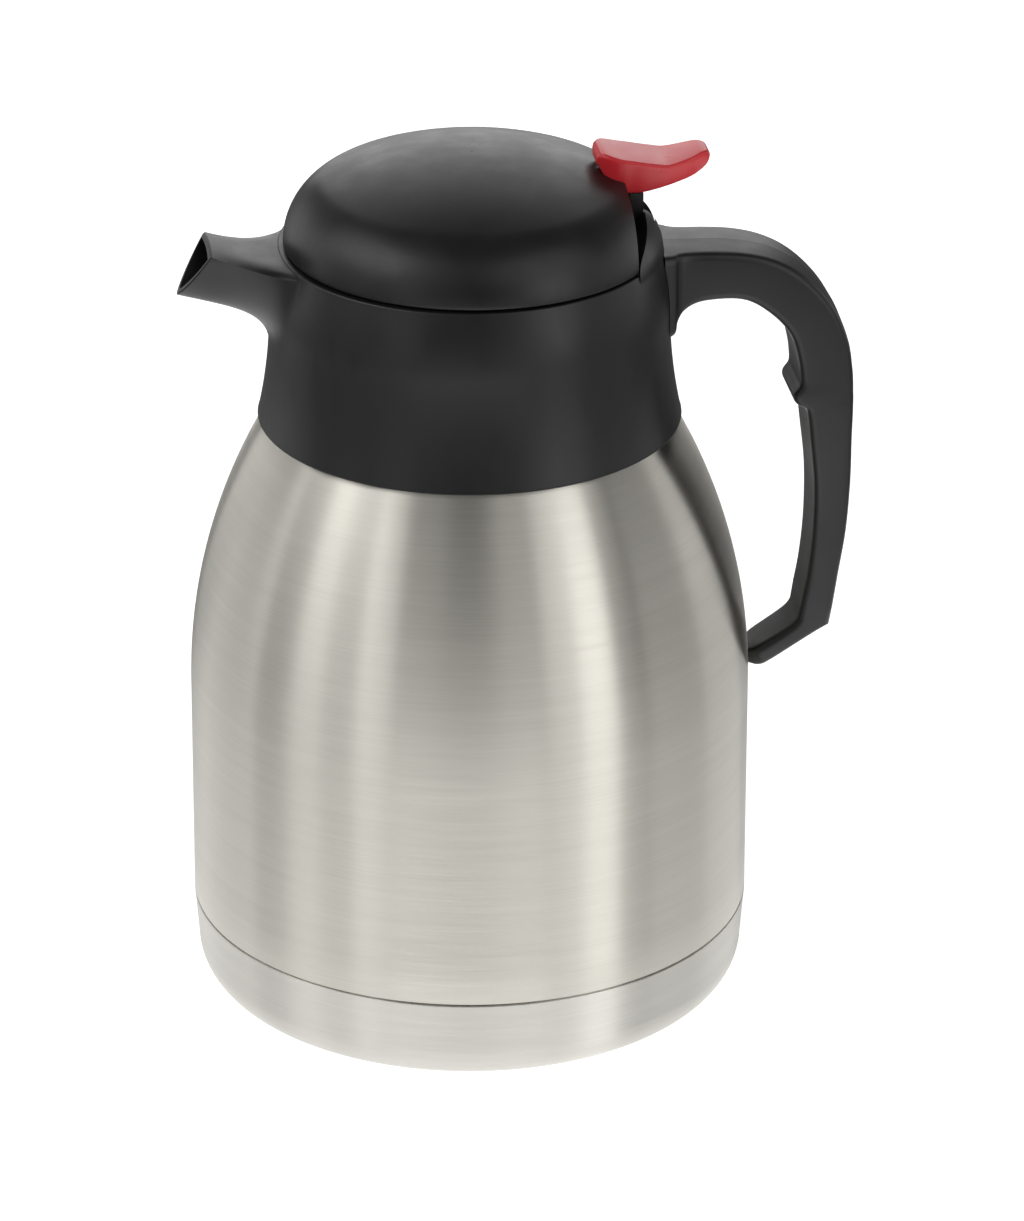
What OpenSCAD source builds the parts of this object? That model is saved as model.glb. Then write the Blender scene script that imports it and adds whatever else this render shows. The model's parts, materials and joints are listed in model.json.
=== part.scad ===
// Vacuum-insulated jug with a moulded collar, spout and handle, and a flip lid
// that tips open when the thumb lever above the handle is pressed.
// Frame: origin at the middle of the base, +Z up, handle towards +X, spout towards -X.

/* [Steel body] */
// Largest outer radius of the steel body
body_r = 73.8; // [70:0.1:77]
// Height of the seam between base cup and shell
seam_z = 24; // [18:0.5:30]
// Height where the shoulder starts to curve in
shoulder_z = 85; // [80:1:88]
// Height where the long shoulder curve ends
shoulder_top_z = 163.1; // [162.8:0.1:163.4]
// Radius of the body where the long shoulder curve ends
shoulder_top_r = 51.7; // [51.5:0.1:51.8]
// Radius of the tight curve between shoulder and neck
turn_r = 22; // [21.5:0.1:22.5]
// Outer radius of the steel neck
neck_r = 38; // [37.6:0.1:38.4]
// Height of the top of the steel neck
neck_top_z = 184; // [183.5:0.1:184.2]
// Thickness of the outer steel sheet
shell_wall = 0.6; // [0.4:0.1:0.8]
// Thickness of the inner steel sheet
flask_wall = 0.5; // [0.4:0.1:0.7]
// Vacuum space between the two steel walls
vacuum_gap = 7; // [6:0.1:7.6]
// Vacuum space at the neck
neck_gap = 1.4; // [1:0.1:1.8]

/* [Base cup] */
// How much narrower the cup is just above its rounded corner than at the seam
base_taper = 1; // [0.4:0.1:2]
// Radius of the rounded corner of the cup
base_corner_r = 11; // [8:0.5:13]
// Visible gap between cup and shell
seam_gap = 0.5; // [0.3:0.1:0.8]
// Depth of the cup that the shell's spigot fills
spigot_h = 7; // [5:0.5:9]
// Outer radius of the ring pressed into the underside
foot_r = 54; // [45:1:57]
// Width of the ring pressed into the underside
foot_w = 9; // [6:0.5:14]
// Depth of the ring pressed into the underside
foot_h = 1.4; // [0.8:0.1:2.5]

/* [Collar] */
// Height of the collar's lower edge
collar_z = 160.5; // [160:0.1:161.5]
// Height of the collar's rim
rim_z = 208; // [207.8:0.1:208.2]
// Height of the collar's waist
waist_z = 190; // [188:0.5:192]
// Outer radius of the collar's waist
waist_r = 52; // [51.8:0.1:52.4]
// Thickness of the skirt's lower edge
skirt_edge = 1.9; // [1.5:0.1:2.4]
// Radius of the taper above the waist, in side view
taper_r = 66; // [62:1:72]
// Inner radius of the collar's skirt
skirt_inner_r = 49.8; // [49.4:0.1:50]
// Inner radius of the pouring chamber
chamber_r = 46.6; // [46.2:0.1:47]
// Inner radius of the throat under the stopper
throat_r = 34.2; // [34:0.1:34.4]
// Height of the top of the throat
throat_z = 188.4; // [188:0.1:189]
// Slope of the stopper's seat, degrees from level
seat_slope = 33; // [31:0.5:34]
// Wall of the funnel and the spout
funnel_wall = 2.2; // [2:0.1:2.4]

/* [Spout] */
// Distance of the spout's lower lip from the axis
spout_reach = 77; // [75:0.5:79]
// Half width of the spout's roof at the mouth
spout_mouth_w = 9.3; // [8.5:0.1:10]
// Half width of the spout's roof at the collar
spout_root_w = 16; // [15:0.1:16.5]
// Wall of the spout
spout_wall = 1.7; // [1.4:0.1:2]

/* [Handle] */
// Width of the handle
handle_w = 21; // [18:0.5:23]
// Radius of the handle's long edges
handle_edge = 2.2; // [1.2:0.1:3]
// How far the finger ridge stands out
ridge_h = 2.6; // [1.5:0.1:3.5]

/* [Hinge] */
// Distance of the hinge pin from the axis
hinge_x = 44.5; // [44.3:0.1:44.7]
// Height of the hinge pin
hinge_z = 208.5; // [208.3:0.1:208.8]
// Radius of the hinge pin
pin_r = 1.5; // [1.3:0.05:1.7]
// Length of the hinge pin
pin_l = 34; // [30:0.5:36]
// Radius of the knuckle round the pin
knuckle_r = 4.5; // [4.3:0.1:4.6]
// Width of the knuckle
knuckle_w = 9; // [8:0.5:9.5]
// Angle that the lid opens
open_angle = 45; // [35:1:45]
// Wire diameter of the return spring
spring_wire = 0.8; // [0.6:0.1:1]
// Turns of the return spring
spring_turns = 4; // [3:1:4]

/* [Lid] */
// Distance of the dome's middle from the jug's axis, towards the handle
lid_x = 0.6; // [0.5:0.1:0.7]
// Radius of the lid's dome at its edge
dome_r = 48.8; // [48.5:0.1:49]
// Height of the dome's top
dome_top_z = 232.7; // [231.5:0.1:233]
// Radius of the dome's rounded shoulder
dome_shoulder_r = 18.2; // [17.5:0.1:19]
// Wall of the dome
dome_wall = 2.2; // [1.8:0.1:2.4]
// Distance of the lid's straight back edge from the axis
lid_back_x = 39.4; // [39.2:0.1:39.4]
// Thickness of the lid's floor
pan_t = 2.6; // [2.2:0.1:2.8]
// Depth of the stopper below the lid's floor
stopper_h = 23; // [21:0.5:24]
// Radius of the stopper's lower end
stopper_tip_r = 29.5; // [28:0.1:30]
// Wall of the stopper
stopper_wall = 2; // [1.6:0.1:2.2]

/* [Thumb lever] */
// Distance of the lever's rear end from the axis
lever_end_x = 62.2; // [60:0.1:64]
// Half width of the lever's top
lever_w = 8.3; // [7:0.1:9]
// Height of the lever's front end over its lowest edge
lever_h = 11.7; // [11:0.1:12.6]

/* [Hidden] */
$fn = 96;
steel = "#b9b6ae";
inner_steel = "#c9c9c6";
black = "#2b2b2d";
red = "#d5302f";
silicone = "#d8d6cf";
foam = "#f0ead6";
// Clearance between pieces that move past each other
clear = 0.3;
// Clearance between pieces that are fastened together
fit = 0.1;
// Radial clearance of the pin in the knuckle
run_fit = 0.05;
// Length by which a cut runs past the face it opens
past = 1;

function arc(c, r, a0, a1, n) = [for (i = [0:n]) let (a = a0 + (a1 - a0) * i / n) c + r * [cos(a), sin(a)]];
function reverse(list) = [for (i = [len(list) - 1:-1:0]) list[i]];

// Steel walls: each wall is a line inset by d from the outside of the shell
shoulder_in = body_r - shoulder_top_r;
shoulder_r = (pow(shoulder_top_z - shoulder_z, 2) + pow(shoulder_in, 2)) / (2 * shoulder_in);
shoulder_sweep = asin((shoulder_top_z - shoulder_z) / shoulder_r);
shoulder_c = [body_r - shoulder_r, shoulder_z];
shoulder_end = [cos(shoulder_sweep), sin(shoulder_sweep)];
turn_c = shoulder_c + (shoulder_r - turn_r) * shoulder_end;
function side_above(d, neck_outer, fillet, top) =
    let (sweep = acos((neck_outer + fillet - turn_c[0]) / (turn_r - d + fillet)))
    let (fillet_c = turn_c + (turn_r - d + fillet) * [cos(sweep), sin(sweep)])
    concat(arc(shoulder_c, shoulder_r - d, 0, shoulder_sweep, 16),
           arc(turn_c, turn_r - d, shoulder_sweep, sweep, 6),
           arc(fillet_c, fillet, 180 + sweep, 180, 6),
           [[neck_outer, top]]);

joggle = shell_wall + fit;
spigot_z = seam_z - spigot_h;
base_r = body_r - base_taper;
function cup_at(z) = base_r + (body_r - base_r) * (z - base_corner_r) / (seam_z - base_corner_r);
function spigot_at(z) = cup_at(z) - joggle - shell_wall;
module outer_shell() {
    outside = concat([[cup_at(spigot_z) - joggle, spigot_z], [body_r - joggle, seam_z],
                      [body_r, seam_z + seam_gap]], side_above(0, neck_r, 5, neck_top_z));
    inside = concat([[spigot_at(spigot_z), spigot_z], [spigot_at(seam_z), seam_z],
                     [body_r - shell_wall, seam_z + joggle + seam_gap]],
                    side_above(shell_wall, neck_r - shell_wall, 5 + shell_wall, neck_top_z));
    color(steel) rotate_extrude() polygon(concat(outside, reverse(inside)));
}

flask_inset = shell_wall + vacuum_gap;
flask_r = body_r - flask_inset;
flask_floor_z = seam_z;
flask_corner = 20;
flask_neck_r = neck_r - shell_wall - neck_gap;
mouth_r = flask_neck_r - flask_wall;
lip_t = 0.6;
module inner_flask() {
    outside = concat([[0, flask_floor_z]],
                     arc([flask_r - flask_corner, flask_floor_z + flask_corner], flask_corner, -90, 0, 8),
                     side_above(flask_inset, flask_neck_r, 6, neck_top_z),
                     [[neck_r, neck_top_z], [neck_r, neck_top_z + lip_t]]);
    inside = concat([[0, flask_floor_z + flask_wall]],
                    arc([flask_r - flask_corner, flask_floor_z + flask_corner],
                        flask_corner - flask_wall, -90, 0, 8),
                    side_above(flask_inset + flask_wall, mouth_r, 6 + flask_wall, neck_top_z + lip_t));
    color(inner_steel) rotate_extrude() polygon(concat(outside, reverse(inside)));
}

// Plate that closes the vacuum space, with the dimple where it is sealed
plate_r = spigot_at(spigot_z);
plate_z = spigot_z;
plate_rim_z = plate_z + 5;
dimple_r = 5;
module vacuum_bottom() {
    color(steel) rotate_extrude() polygon([
        [0, plate_z + shell_wall], [dimple_r, plate_z + shell_wall],
        [dimple_r + 2, plate_z + 2], [plate_r - 14, plate_z + 2],
        [plate_r - 9, plate_z], [plate_r - shell_wall, plate_z], [plate_r, plate_z],
        [spigot_at(plate_rim_z), plate_rim_z], [spigot_at(plate_rim_z) - shell_wall, plate_rim_z],
        [plate_r - shell_wall, plate_z + shell_wall], [plate_r - 8.6, plate_z + shell_wall],
        [plate_r - 13.6, plate_z + 2 + shell_wall], [dimple_r + 1.6, plate_z + 2 + shell_wall],
        [dimple_r - 0.4, plate_z + 2 * shell_wall], [0, plate_z + 2 * shell_wall]]);
}

getter_r = 9;
getter_x = 30;
module getter() {
    color(inner_steel) translate([getter_x, 0, plate_z + 2 + shell_wall]) {
        cylinder(r = getter_r, h = 1.2);
        cylinder(r = getter_r - 2, h = 2.4);
    }
}

module base_cap() {
    corner = [base_r - base_corner_r, base_corner_r];
    outside = concat([[0, 0], [foot_r - foot_w, 0], [foot_r - foot_w + foot_h, foot_h],
                      [foot_r - foot_h, foot_h], [foot_r, 0]],
                     arc(corner, base_corner_r, -90, 0, 10), [[body_r, seam_z]]);
    inside = concat([[0, shell_wall], [foot_r - foot_w - 0.3, shell_wall],
                     [foot_r - foot_w - 0.3 + foot_h, foot_h + shell_wall],
                     [foot_r - foot_h + 0.3, foot_h + shell_wall], [foot_r + 0.3, shell_wall]],
                    arc(corner, base_corner_r - shell_wall, -90, 0, 10), [[body_r - shell_wall, seam_z]]);
    color(steel) rotate_extrude() polygon(concat(outside, reverse(inside)));
}

// Collar: one moulding with skirt, funnel, spout and hinge housing
gasket_t = 1.8;
gasket_w = 3;
deck_z = neck_top_z + lip_t + gasket_t;
module neck_gasket() {
    color(silicone) translate([0, 0, neck_top_z + lip_t]) difference() {
        cylinder(r = mouth_r + gasket_w, h = gasket_t);
        translate([0, 0, -past]) cylinder(r = mouth_r, h = gasket_t + 2 * past);
    }
}

function seat_at(r) = throat_z + (r - throat_r) * tan(seat_slope);
function shell_at(z) = z < shoulder_top_z
    ? shoulder_c[0] + sqrt(pow(shoulder_r, 2) - pow(z - shoulder_c[1], 2))
    : turn_c[0] + sqrt(pow(turn_r, 2) - pow(z - turn_c[1], 2));
skirt_low_r = shell_at(collar_z) + fit + skirt_edge;
function flare_at(z) = waist_r + (skirt_low_r - waist_r) * pow((waist_z - z) / (waist_z - collar_z), 2);
function taper_at(z) = waist_r - taper_r + sqrt(pow(taper_r, 2) - pow(z - waist_z, 2));
throat_wall = 1;
throat_drop = 3.4;
ring_t = 2.5;
ring_low_z = neck_top_z - 6;
ring_high_z = neck_top_z - 0.6;
deck_r = neck_r + ring_t + fit;
tube_r = deck_r + 2;
lip_edge = 0.5;
shelf_z = collar_z + 5.9;
contact_z = collar_z + 2.9;
collar_profile = concat(
    [[skirt_low_r - skirt_edge, collar_z], [skirt_low_r - lip_edge, collar_z]],
    [for (i = [0:8]) let (z = collar_z + lip_edge + (waist_z - collar_z - lip_edge) * i / 8)
        [flare_at(z), z]],
    [for (i = [1:6]) let (z = waist_z + (rim_z - lip_edge - waist_z) * i / 6) [taper_at(z), z]],
    [[taper_at(rim_z) - lip_edge, rim_z], [chamber_r, rim_z], [chamber_r, seat_at(chamber_r)],
     [throat_r, throat_z], [throat_r, deck_z - throat_drop - 2],
     [throat_r + throat_wall, deck_z - throat_drop - 2], [throat_r + throat_wall, deck_z],
     [deck_r, deck_z], [deck_r, ring_low_z], [tube_r, ring_low_z],
     [tube_r, seat_at(tube_r) - funnel_wall * 1.2],
     [skirt_inner_r, seat_at(skirt_inner_r) - funnel_wall * 1.2],
     [skirt_inner_r, shelf_z], [shell_at(contact_z) + fit, contact_z]]);

// Ring on the steel neck whose ribs hold the collar
module neck_ring() {
    color(steel) difference() {
        translate([0, 0, ring_low_z]) cylinder(r = neck_r + ring_t, h = ring_high_z - ring_low_z);
        translate([0, 0, ring_low_z - past]) cylinder(r = neck_r, h = ring_high_z - ring_low_z + 2 * past);
        for (z = [ring_low_z + 1.4, ring_low_z + 3.4]) translate([0, 0, z]) difference() {
            cylinder(r = neck_r + ring_t + past, h = 0.9);
            translate([0, 0, -past]) cylinder(r = neck_r + ring_t - 0.7, h = 0.9 + 2 * past);
        }
    }
}

// Sections of a loft: each ring is a flat or crowned roof over a rounded keel
function spout_ring(x, slant, w, roof, crown, keel, n = 10) = concat(
    [for (i = [0:4]) let (y = w * (1 - i / 2), z = roof + crown * (1 - pow(y / w, 2)))
        [x + slant * (roof - z), y, z]],
    [for (i = [1:n - 1]) let (a = 180 * i / n, y = -w * sign(cos(a)) * pow(abs(cos(a)), 1.5),
                              z = roof - (roof - keel) * pow(sin(a), 1.5))
        [x + slant * (roof - z), y, z]]);
module loft(rings) {
    n = len(rings[0]);
    m = len(rings);
    polyhedron(points = [for (ring = rings) for (p = ring) p],
        faces = concat([[for (i = [0:n - 1]) i]],
                       [for (j = [0:m - 2]) for (i = [0:n - 1]) for (t = [0:1]) let (k = (i + 1) % n)
                           t == 0 ? [j * n + i, (j + 1) * n + i, (j + 1) * n + k]
                                  : [j * n + i, (j + 1) * n + k, j * n + k]],
                       [[for (i = [n - 1:-1:0]) (m - 1) * n + i]]));
}

mouth_x = spout_reach - 9;
mouth_slant = -0.62;
module spout_outside() {
    loft([spout_ring(-mouth_x, mouth_slant, spout_mouth_w, rim_z + 2.9, 0.8, rim_z - 10.6),
          spout_ring(-mouth_x + 3.5, mouth_slant * 0.8, spout_mouth_w + 0.6, rim_z + 1.2, 1.2, rim_z - 12.6),
          spout_ring(-mouth_x + 8, mouth_slant * 0.55, spout_mouth_w + 1.8, rim_z - 0.4, 1.4, rim_z - 15.4),
          spout_ring(-mouth_x + 12.5, mouth_slant * 0.3, spout_mouth_w + 3.4, rim_z - 1.2, 1.2, rim_z - 18.6),
          spout_ring(-mouth_x + 16, mouth_slant * 0.1, spout_root_w - 0.8, rim_z - 1, 1, rim_z - 23.4),
          spout_ring(-mouth_x + 18, 0, spout_root_w + 1.4, rim_z - 0.8, 0.8, rim_z - 27),
          spout_ring(-mouth_x + 20, 0, spout_root_w + 4, rim_z - 0.6, 0.6, rim_z - 31.5),
          spout_ring(-mouth_x + 22, 0, spout_root_w + 6.5, rim_z - 0.6, 0.4, rim_z - 36)]);
}
module spout_channel() {
    w = spout_mouth_w - spout_wall;
    loft([spout_ring(-mouth_x - 1.4, mouth_slant, w, rim_z + 2.1, 0.6, rim_z - 8.2),
          spout_ring(-mouth_x + 3.5, mouth_slant * 0.8, w + 0.6, rim_z - 0.5, 1, rim_z - 10.6),
          spout_ring(-mouth_x + 8, mouth_slant * 0.55, w + 1.6, rim_z - 2.1, 1.2, rim_z - 13),
          spout_ring(-mouth_x + 13, mouth_slant * 0.25, w + 2.4, rim_z - 3.2, 1, rim_z - 15.6),
          spout_ring(-mouth_x + 19, 0, w + 2.6, rim_z - 3.6, 0.8, rim_z - 18.2),
          spout_ring(-throat_r - 1.6, 0, w + 2.6, rim_z - 3.6, 0.8, rim_z - 18.6)]);
}
// Floor of the trough that leads from the throat into the spout
module trough() {
    loft([spout_ring(-skirt_inner_r - 1, 0, spout_mouth_w + 3, seat_at(chamber_r) - 0.6, 0.4, rim_z - 20.6),
          spout_ring(-deck_r + 0.4, 0, spout_mouth_w + 3, seat_at(deck_r) - 0.6, 0.4, rim_z - 20.8)]);
}

// The housing's top stays under the plane that the lid's back reaches when open
housing_front_x = lid_back_x + clear;
sweep_r = hinge_x - housing_front_x;
housing_round = 12;
housing_z = 206;
housing_floor_z = 198;
slot_w = knuckle_w + 2 * clear;
pocket_w = 7;
pocket_r = 4;
slot_back_z = 210;
module housing() {
    top_r = taper_at(housing_z);
    intersection() {
        rotate_extrude() polygon(concat([[20, housing_floor_z]],
            [for (i = [0:4]) let (z = housing_floor_z + (housing_z - housing_floor_z) * i / 4)
                [taper_at(z), z]],
            arc([top_r - housing_round, housing_z], housing_round, 0, 90, 10),
            [[20, housing_z + housing_round]]));
        translate([0, waist_r, 0]) rotate([90, 0, 0]) linear_extrude(2 * waist_r)
            polygon(concat([[housing_front_x, housing_floor_z]],
                           arc([hinge_x, hinge_z], sweep_r, 180, 180 - open_angle, 4),
                           [[hinge_x - sweep_r * cos(open_angle) + 14 * sin(open_angle),
                             hinge_z + sweep_r * sin(open_angle) + 14 * cos(open_angle)],
                            [waist_r + 1, hinge_z], [waist_r + 1, housing_floor_z]]));
    }
}

module across(y0, y1, r) {
    translate([hinge_x, y0, hinge_z]) rotate([-90, 0, 0]) cylinder(r = r, h = y1 - y0);
}
module hinge_cuts() {
    // Slot for the knuckle, open to the front and the top
    translate([housing_front_x - past, -slot_w / 2, hinge_z - knuckle_r - clear])
        cube([hinge_x - housing_front_x + past, slot_w, 20]);
    across(-slot_w / 2, slot_w / 2, knuckle_r + clear);
    translate([hinge_x - past, -slot_w / 2, slot_back_z]) cube([20, slot_w, 12]);
    // Pocket for the spring, open to the front
    across(slot_w / 2 - fit, slot_w / 2 + pocket_w, pocket_r);
    translate([housing_front_x - past, slot_w / 2 - fit, hinge_z - pocket_r])
        cube([hinge_x - housing_front_x + past, pocket_w + fit, pocket_r]);
    // Slit for the spring's leg
    across(slot_w / 2 - fit, spring_y + spring_wire / 2 + clear, sweep_r + past);
    // Bore for the pin, open at one end
    across(-pin_l / 2, waist_r, pin_r + 0.01);
}

// Handle fixing: two screws that slope up into its root
screw_r = 1.8;
screw_l = 12;
screw_head_r = 3.1;
screw_head_h = 2;
screw_x = skirt_inner_r - 1.3;
screw_z = 190.5;
screw_y = 5;
screw_tilt = 30;
module handle_screw_places() {
    for (y = [-screw_y, screw_y]) translate([screw_x, y, screw_z]) rotate([0, 90 - screw_tilt, 0]) children();
}

module collar() {
    color(black) difference() {
        union() {
            rotate_extrude() polygon(collar_profile);
            spout_outside();
            trough();
            housing();
        }
        spout_channel();
        hinge_cuts();
        handle_screw_places() cylinder(r = screw_r + fit, h = 8);
        handle_screw_places() translate([0, 0, -3]) cylinder(r = screw_head_r + clear, h = 3);
    }
}

module screw(shank_r, shank_l, head_r, head_h) {
    difference() {
        union() {
            translate([0, 0, -head_h]) cylinder(r = head_r, h = head_h);
            cylinder(r = shank_r, h = shank_l);
        }
        translate([0, 0, -head_h - past]) cylinder(r = head_r * 0.42, h = head_h * 0.6 + past, $fn = 6);
    }
}

// Handle: a loft through stations given as [outer x, outer z, inner x, inner z, width]
handle_bow = [[49, 205.9, 49, 182.4, handle_w + 6], [51.8, 205.8, 52, 183.6, handle_w + 4.2],
    [52.9, 205.8, 52.8, 186.4, handle_w + 2.2], [54.8, 205.7, 54.6, 189.2, handle_w + 0.7],
    [58, 205.6, 58, 191.1, handle_w], [63, 205.4, 62.5, 191.8, handle_w],
    [70, 204.7, 68.5, 191.7, handle_w], [77, 202.9, 73, 190.3, handle_w],
    [84, 199.3, 77.4, 187.2, handle_w], [90.4, 193.6, 81, 183.6, handle_w],
    [95.5, 186.5, 83.6, 179.4, handle_w - 0.2], [98.8, 177.9, 85.2, 173.6, handle_w - 0.5]];
handle_ridge = [[100, 170.5, 85.8, 169.5, handle_w - 0.7], [100.3, 167, 85.8, 166.2, handle_w - 0.8],
    [100.4, 164.2, 86.8 - ridge_h, 163.6, handle_w - 0.9], [100.5, 162, 87.4 - ridge_h, 161.2, handle_w - 1],
    [100.5, 160, 87.4, 159.5, handle_w - 1], [100.5, 157, 88.2, 156.6, handle_w - 1.2]];
handle_grip = [[100.4, 150, 89, 149.8, handle_w - 1.8], [100.4, 137.2, 90.3, 137.3, handle_w - 3],
    [99.6, 123.2, 90.3, 123.5, handle_w - 4], [97.9, 111, 89.3, 111.8, handle_w - 4.6],
    [96.5, 100.9, 87.9, 103.5, handle_w - 5]];
stations = concat(handle_bow, handle_ridge, handle_grip);
strut = [[95.7, 96, 87.1, 98.5, handle_w - 5.6], [91.4, 93.4, 85, 96, handle_w - 6],
    [80.3, 86, 77, 90.8, handle_w - 7], [77, 84.3, 75.2, 89.6, handle_w - 8.5],
    [74.6, 84.7, 73.6, 88.8, handle_w - 10], [73.2, 85.3, 72.2, 88.2, handle_w - 11.4]];
function spline(list, i, t) =
    let (a = list[max(i - 1, 0)], b = list[i], c = list[i + 1], d = list[min(i + 2, len(list) - 1)])
    0.5 * (2 * b + (c - a) * t + (2 * a - 5 * b + 4 * c - d) * t * t + (3 * b - a - 3 * c + d) * t * t * t);
function smooth(list, n) = concat([for (i = [0:len(list) - 2]) for (k = [0:n - 1]) spline(list, i, k / n)],
                                  [list[len(list) - 1]]);
function handle_ring(s) =
    let (o = [s[0], s[1]], i = [s[2], s[3]], depth = norm(o - i), u = (o - i) / depth)
    let (c = (o + i) / 2, r = min(handle_edge, depth / 2 - 0.2, s[4] / 5))
    [for (q = [[1, -1, 360], [-1, -1, 270], [-1, 1, 180], [1, 1, 90]]) for (k = [0:3])
        let (a = q[2] - 30 * k, p = c + u * (q[0] * (depth / 2 - r) + r * cos(a)),
             y = q[1] * (s[4] / 2 - r) + r * sin(a)) [p[0], y, p[1]]];
root_h = 20;
bracket_z = 86.9;
strut_angle = 29;
bracket = [0.8, 6, 1.8];
bracket_tongue = [8, 5, 1];
module strut_bracket_solid(grow) {
    translate([body_r - 0.1, -bracket[1] / 2 - grow, bracket_z - bracket[2] / 2 - grow])
        cube([bracket[0] + 0.1 + grow, bracket[1] + 2 * grow, bracket[2] + 2 * grow]);
    translate([body_r + 0.4, 0, bracket_z]) rotate([0, -strut_angle, 0])
        translate([0, -bracket_tongue[1] / 2 - grow, -bracket_tongue[2] / 2 - grow])
        cube([bracket_tongue[0] + grow, bracket_tongue[1] + 2 * grow, bracket_tongue[2] + 2 * grow]);
}
module strut_bracket() {
    color(steel) difference() {
        strut_bracket_solid(0);
        cylinder(r = body_r, h = neck_top_z, $fn = 180);
    }
}
module handle() {
    color(black) difference() {
        loft([for (s = concat(smooth(stations, 2), smooth(strut, 2))) handle_ring(s)]);
        rotate_extrude() polygon(concat([[throat_r, waist_z - root_h]],
            [for (i = [-5:0]) let (z = waist_z + i * root_h / 5) [flare_at(z) + fit, z]],
            [for (i = [1:5]) let (z = waist_z + i * root_h / 5) [taper_at(z) + fit, z]],
            [[throat_r, waist_z + root_h]]));
        cylinder(r = body_r + fit, h = shoulder_z + 15, $fn = 180);
        strut_bracket_solid(fit);
        handle_screw_places() cylinder(r = screw_r, h = screw_l);
    }
}

module handle_screws() {
    color(steel) handle_screw_places() screw(screw_r, screw_l, screw_head_r, screw_head_h);
}

module hinge_pin() {
    color(steel) across(-pin_l / 2, pin_l / 2, pin_r);
}

// Lid: dome, floor pan with the knuckle, stopper and thumb lever
dome_edge_z = rim_z + 0.4;
shoulder_x = dome_r - dome_shoulder_r;
dome_rise = dome_top_z - dome_edge_z;
crown_r = (pow(dome_rise, 2) + pow(shoulder_x, 2) - pow(dome_shoulder_r, 2))
    / (2 * (dome_rise - dome_shoulder_r));
crown_z = dome_top_z - crown_r;
shoulder_sweep_lid = atan((dome_edge_z - crown_z) / shoulder_x);
module dome_solid(d) {
    translate([lid_x, 0, 0]) rotate_extrude() polygon(concat([[0, dome_edge_z - past * (d > 0 ? 1 : 0)]],
        [[dome_r - d, dome_edge_z - past * (d > 0 ? 1 : 0)]],
        arc([shoulder_x, dome_edge_z], dome_shoulder_r - d, 0, shoulder_sweep_lid, 12),
        arc([0, crown_z], crown_r - d, shoulder_sweep_lid, 90, 10)));
}
module before(x) {
    intersection() {
        children();
        translate([-2 * body_r, -2 * body_r, collar_z]) cube([2 * body_r + x, 4 * body_r, body_r]);
    }
}
lid_screw_place_r = 40;
lid_screw_r = 1.3;
lid_screw_l = 10;
boss_r = 3.2;
module lid_screw_places() {
    translate([lid_x, 0, 0]) for (a = [60, 180, 300])
        rotate([0, 0, a]) translate([lid_screw_place_r, 0, 0]) children();
}
pan_z = rim_z - 2;
pan_top_z = pan_z + pan_t;
lever_seat_z = dome_top_z - 12.1;
lever_top_z = lever_seat_z + lever_h;
function dome_under_z(r) = dome_edge_z + sqrt(pow(dome_shoulder_r - dome_wall, 2) - pow(r - shoulder_x, 2));
lever_screw_x = 34.3;
lever_head_r = 2.4;
lever_screw_z = dome_under_z(lever_screw_x + lever_head_r - lid_x) - fit;
module lid_dome() {
    color(black) difference() {
        union() {
            difference() {
                before(lid_back_x) dome_solid(0);
                before(lid_back_x - dome_wall) dome_solid(dome_wall);
            }
            intersection() {
                lid_screw_places() translate([0, 0, pan_top_z]) cylinder(r = boss_r, h = 20);
                dome_solid(dome_wall / 2);
            }
        }
        lid_screw_places() translate([0, 0, pan_top_z - past]) cylinder(r = lid_screw_r, h = lid_screw_l);
        translate([lid_back_x - dome_wall - past, -slot_w / 2, dome_edge_z - past])
            cube([dome_wall + 2 * past, slot_w + 2, lever_seat_z - dome_edge_z + past]);
        translate([lever_screw_x, 0, lever_screw_z - past]) cylinder(r = 1.6, h = 8);
    }
}

pan_r = 45.4;
pan_rim_z = dome_edge_z - fit;
spigot_top_z = pan_top_z + 2.4;
spigot_r = shoulder_x + sqrt(pow(dome_shoulder_r - dome_wall, 2) - pow(spigot_top_z - dome_edge_z, 2)) - fit;
module lid_pan() {
    color(black) difference() {
        union() {
            before(lid_back_x) translate([lid_x, 0, 0]) rotate_extrude() polygon([
                [0, pan_z], [pan_r - 2.4, pan_z], [pan_r - 2.4, pan_z - 4.5], [pan_r - 0.8, pan_z - 4.5],
                [pan_r, pan_z - 3.5], [pan_r, pan_rim_z - 0.4], [pan_r - 0.4, pan_rim_z], [0, pan_rim_z]]);
            before(lid_back_x - dome_wall - fit) translate([lid_x, 0, 0]) rotate_extrude() polygon([
                [0, pan_z + 1], [pan_r - 1, pan_z + 1], [pan_r - 1, pan_rim_z], [spigot_r, pan_rim_z],
                [spigot_r, spigot_top_z], [spigot_r - 2.2, spigot_top_z], [spigot_r - 2.2, pan_top_z],
                [0, pan_top_z]]);
            across(-knuckle_w / 2, knuckle_w / 2, knuckle_r);
            translate([32, -knuckle_w / 2, pan_z]) cube([hinge_x - 32, knuckle_w, hinge_z + 3 - pan_z]);
            translate([hinge_x - 3.4, -knuckle_w / 2, hinge_z])
                cube([3.5, knuckle_w, lever_seat_z - hinge_z]);
        }
        across(-knuckle_w, knuckle_w, pin_r + run_fit);
        lid_screw_places() translate([0, 0, pan_z - past]) cylinder(r = lid_screw_r + fit, h = 6);
        translate([0, 0, pan_z - past]) cylinder(r = screw_r + fit, h = 6);
    }
}
module lid_screws() {
    color(steel) lid_screw_places() translate([0, 0, pan_z]) screw(lid_screw_r, lid_screw_l, 2.6, 1.8);
}

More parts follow.
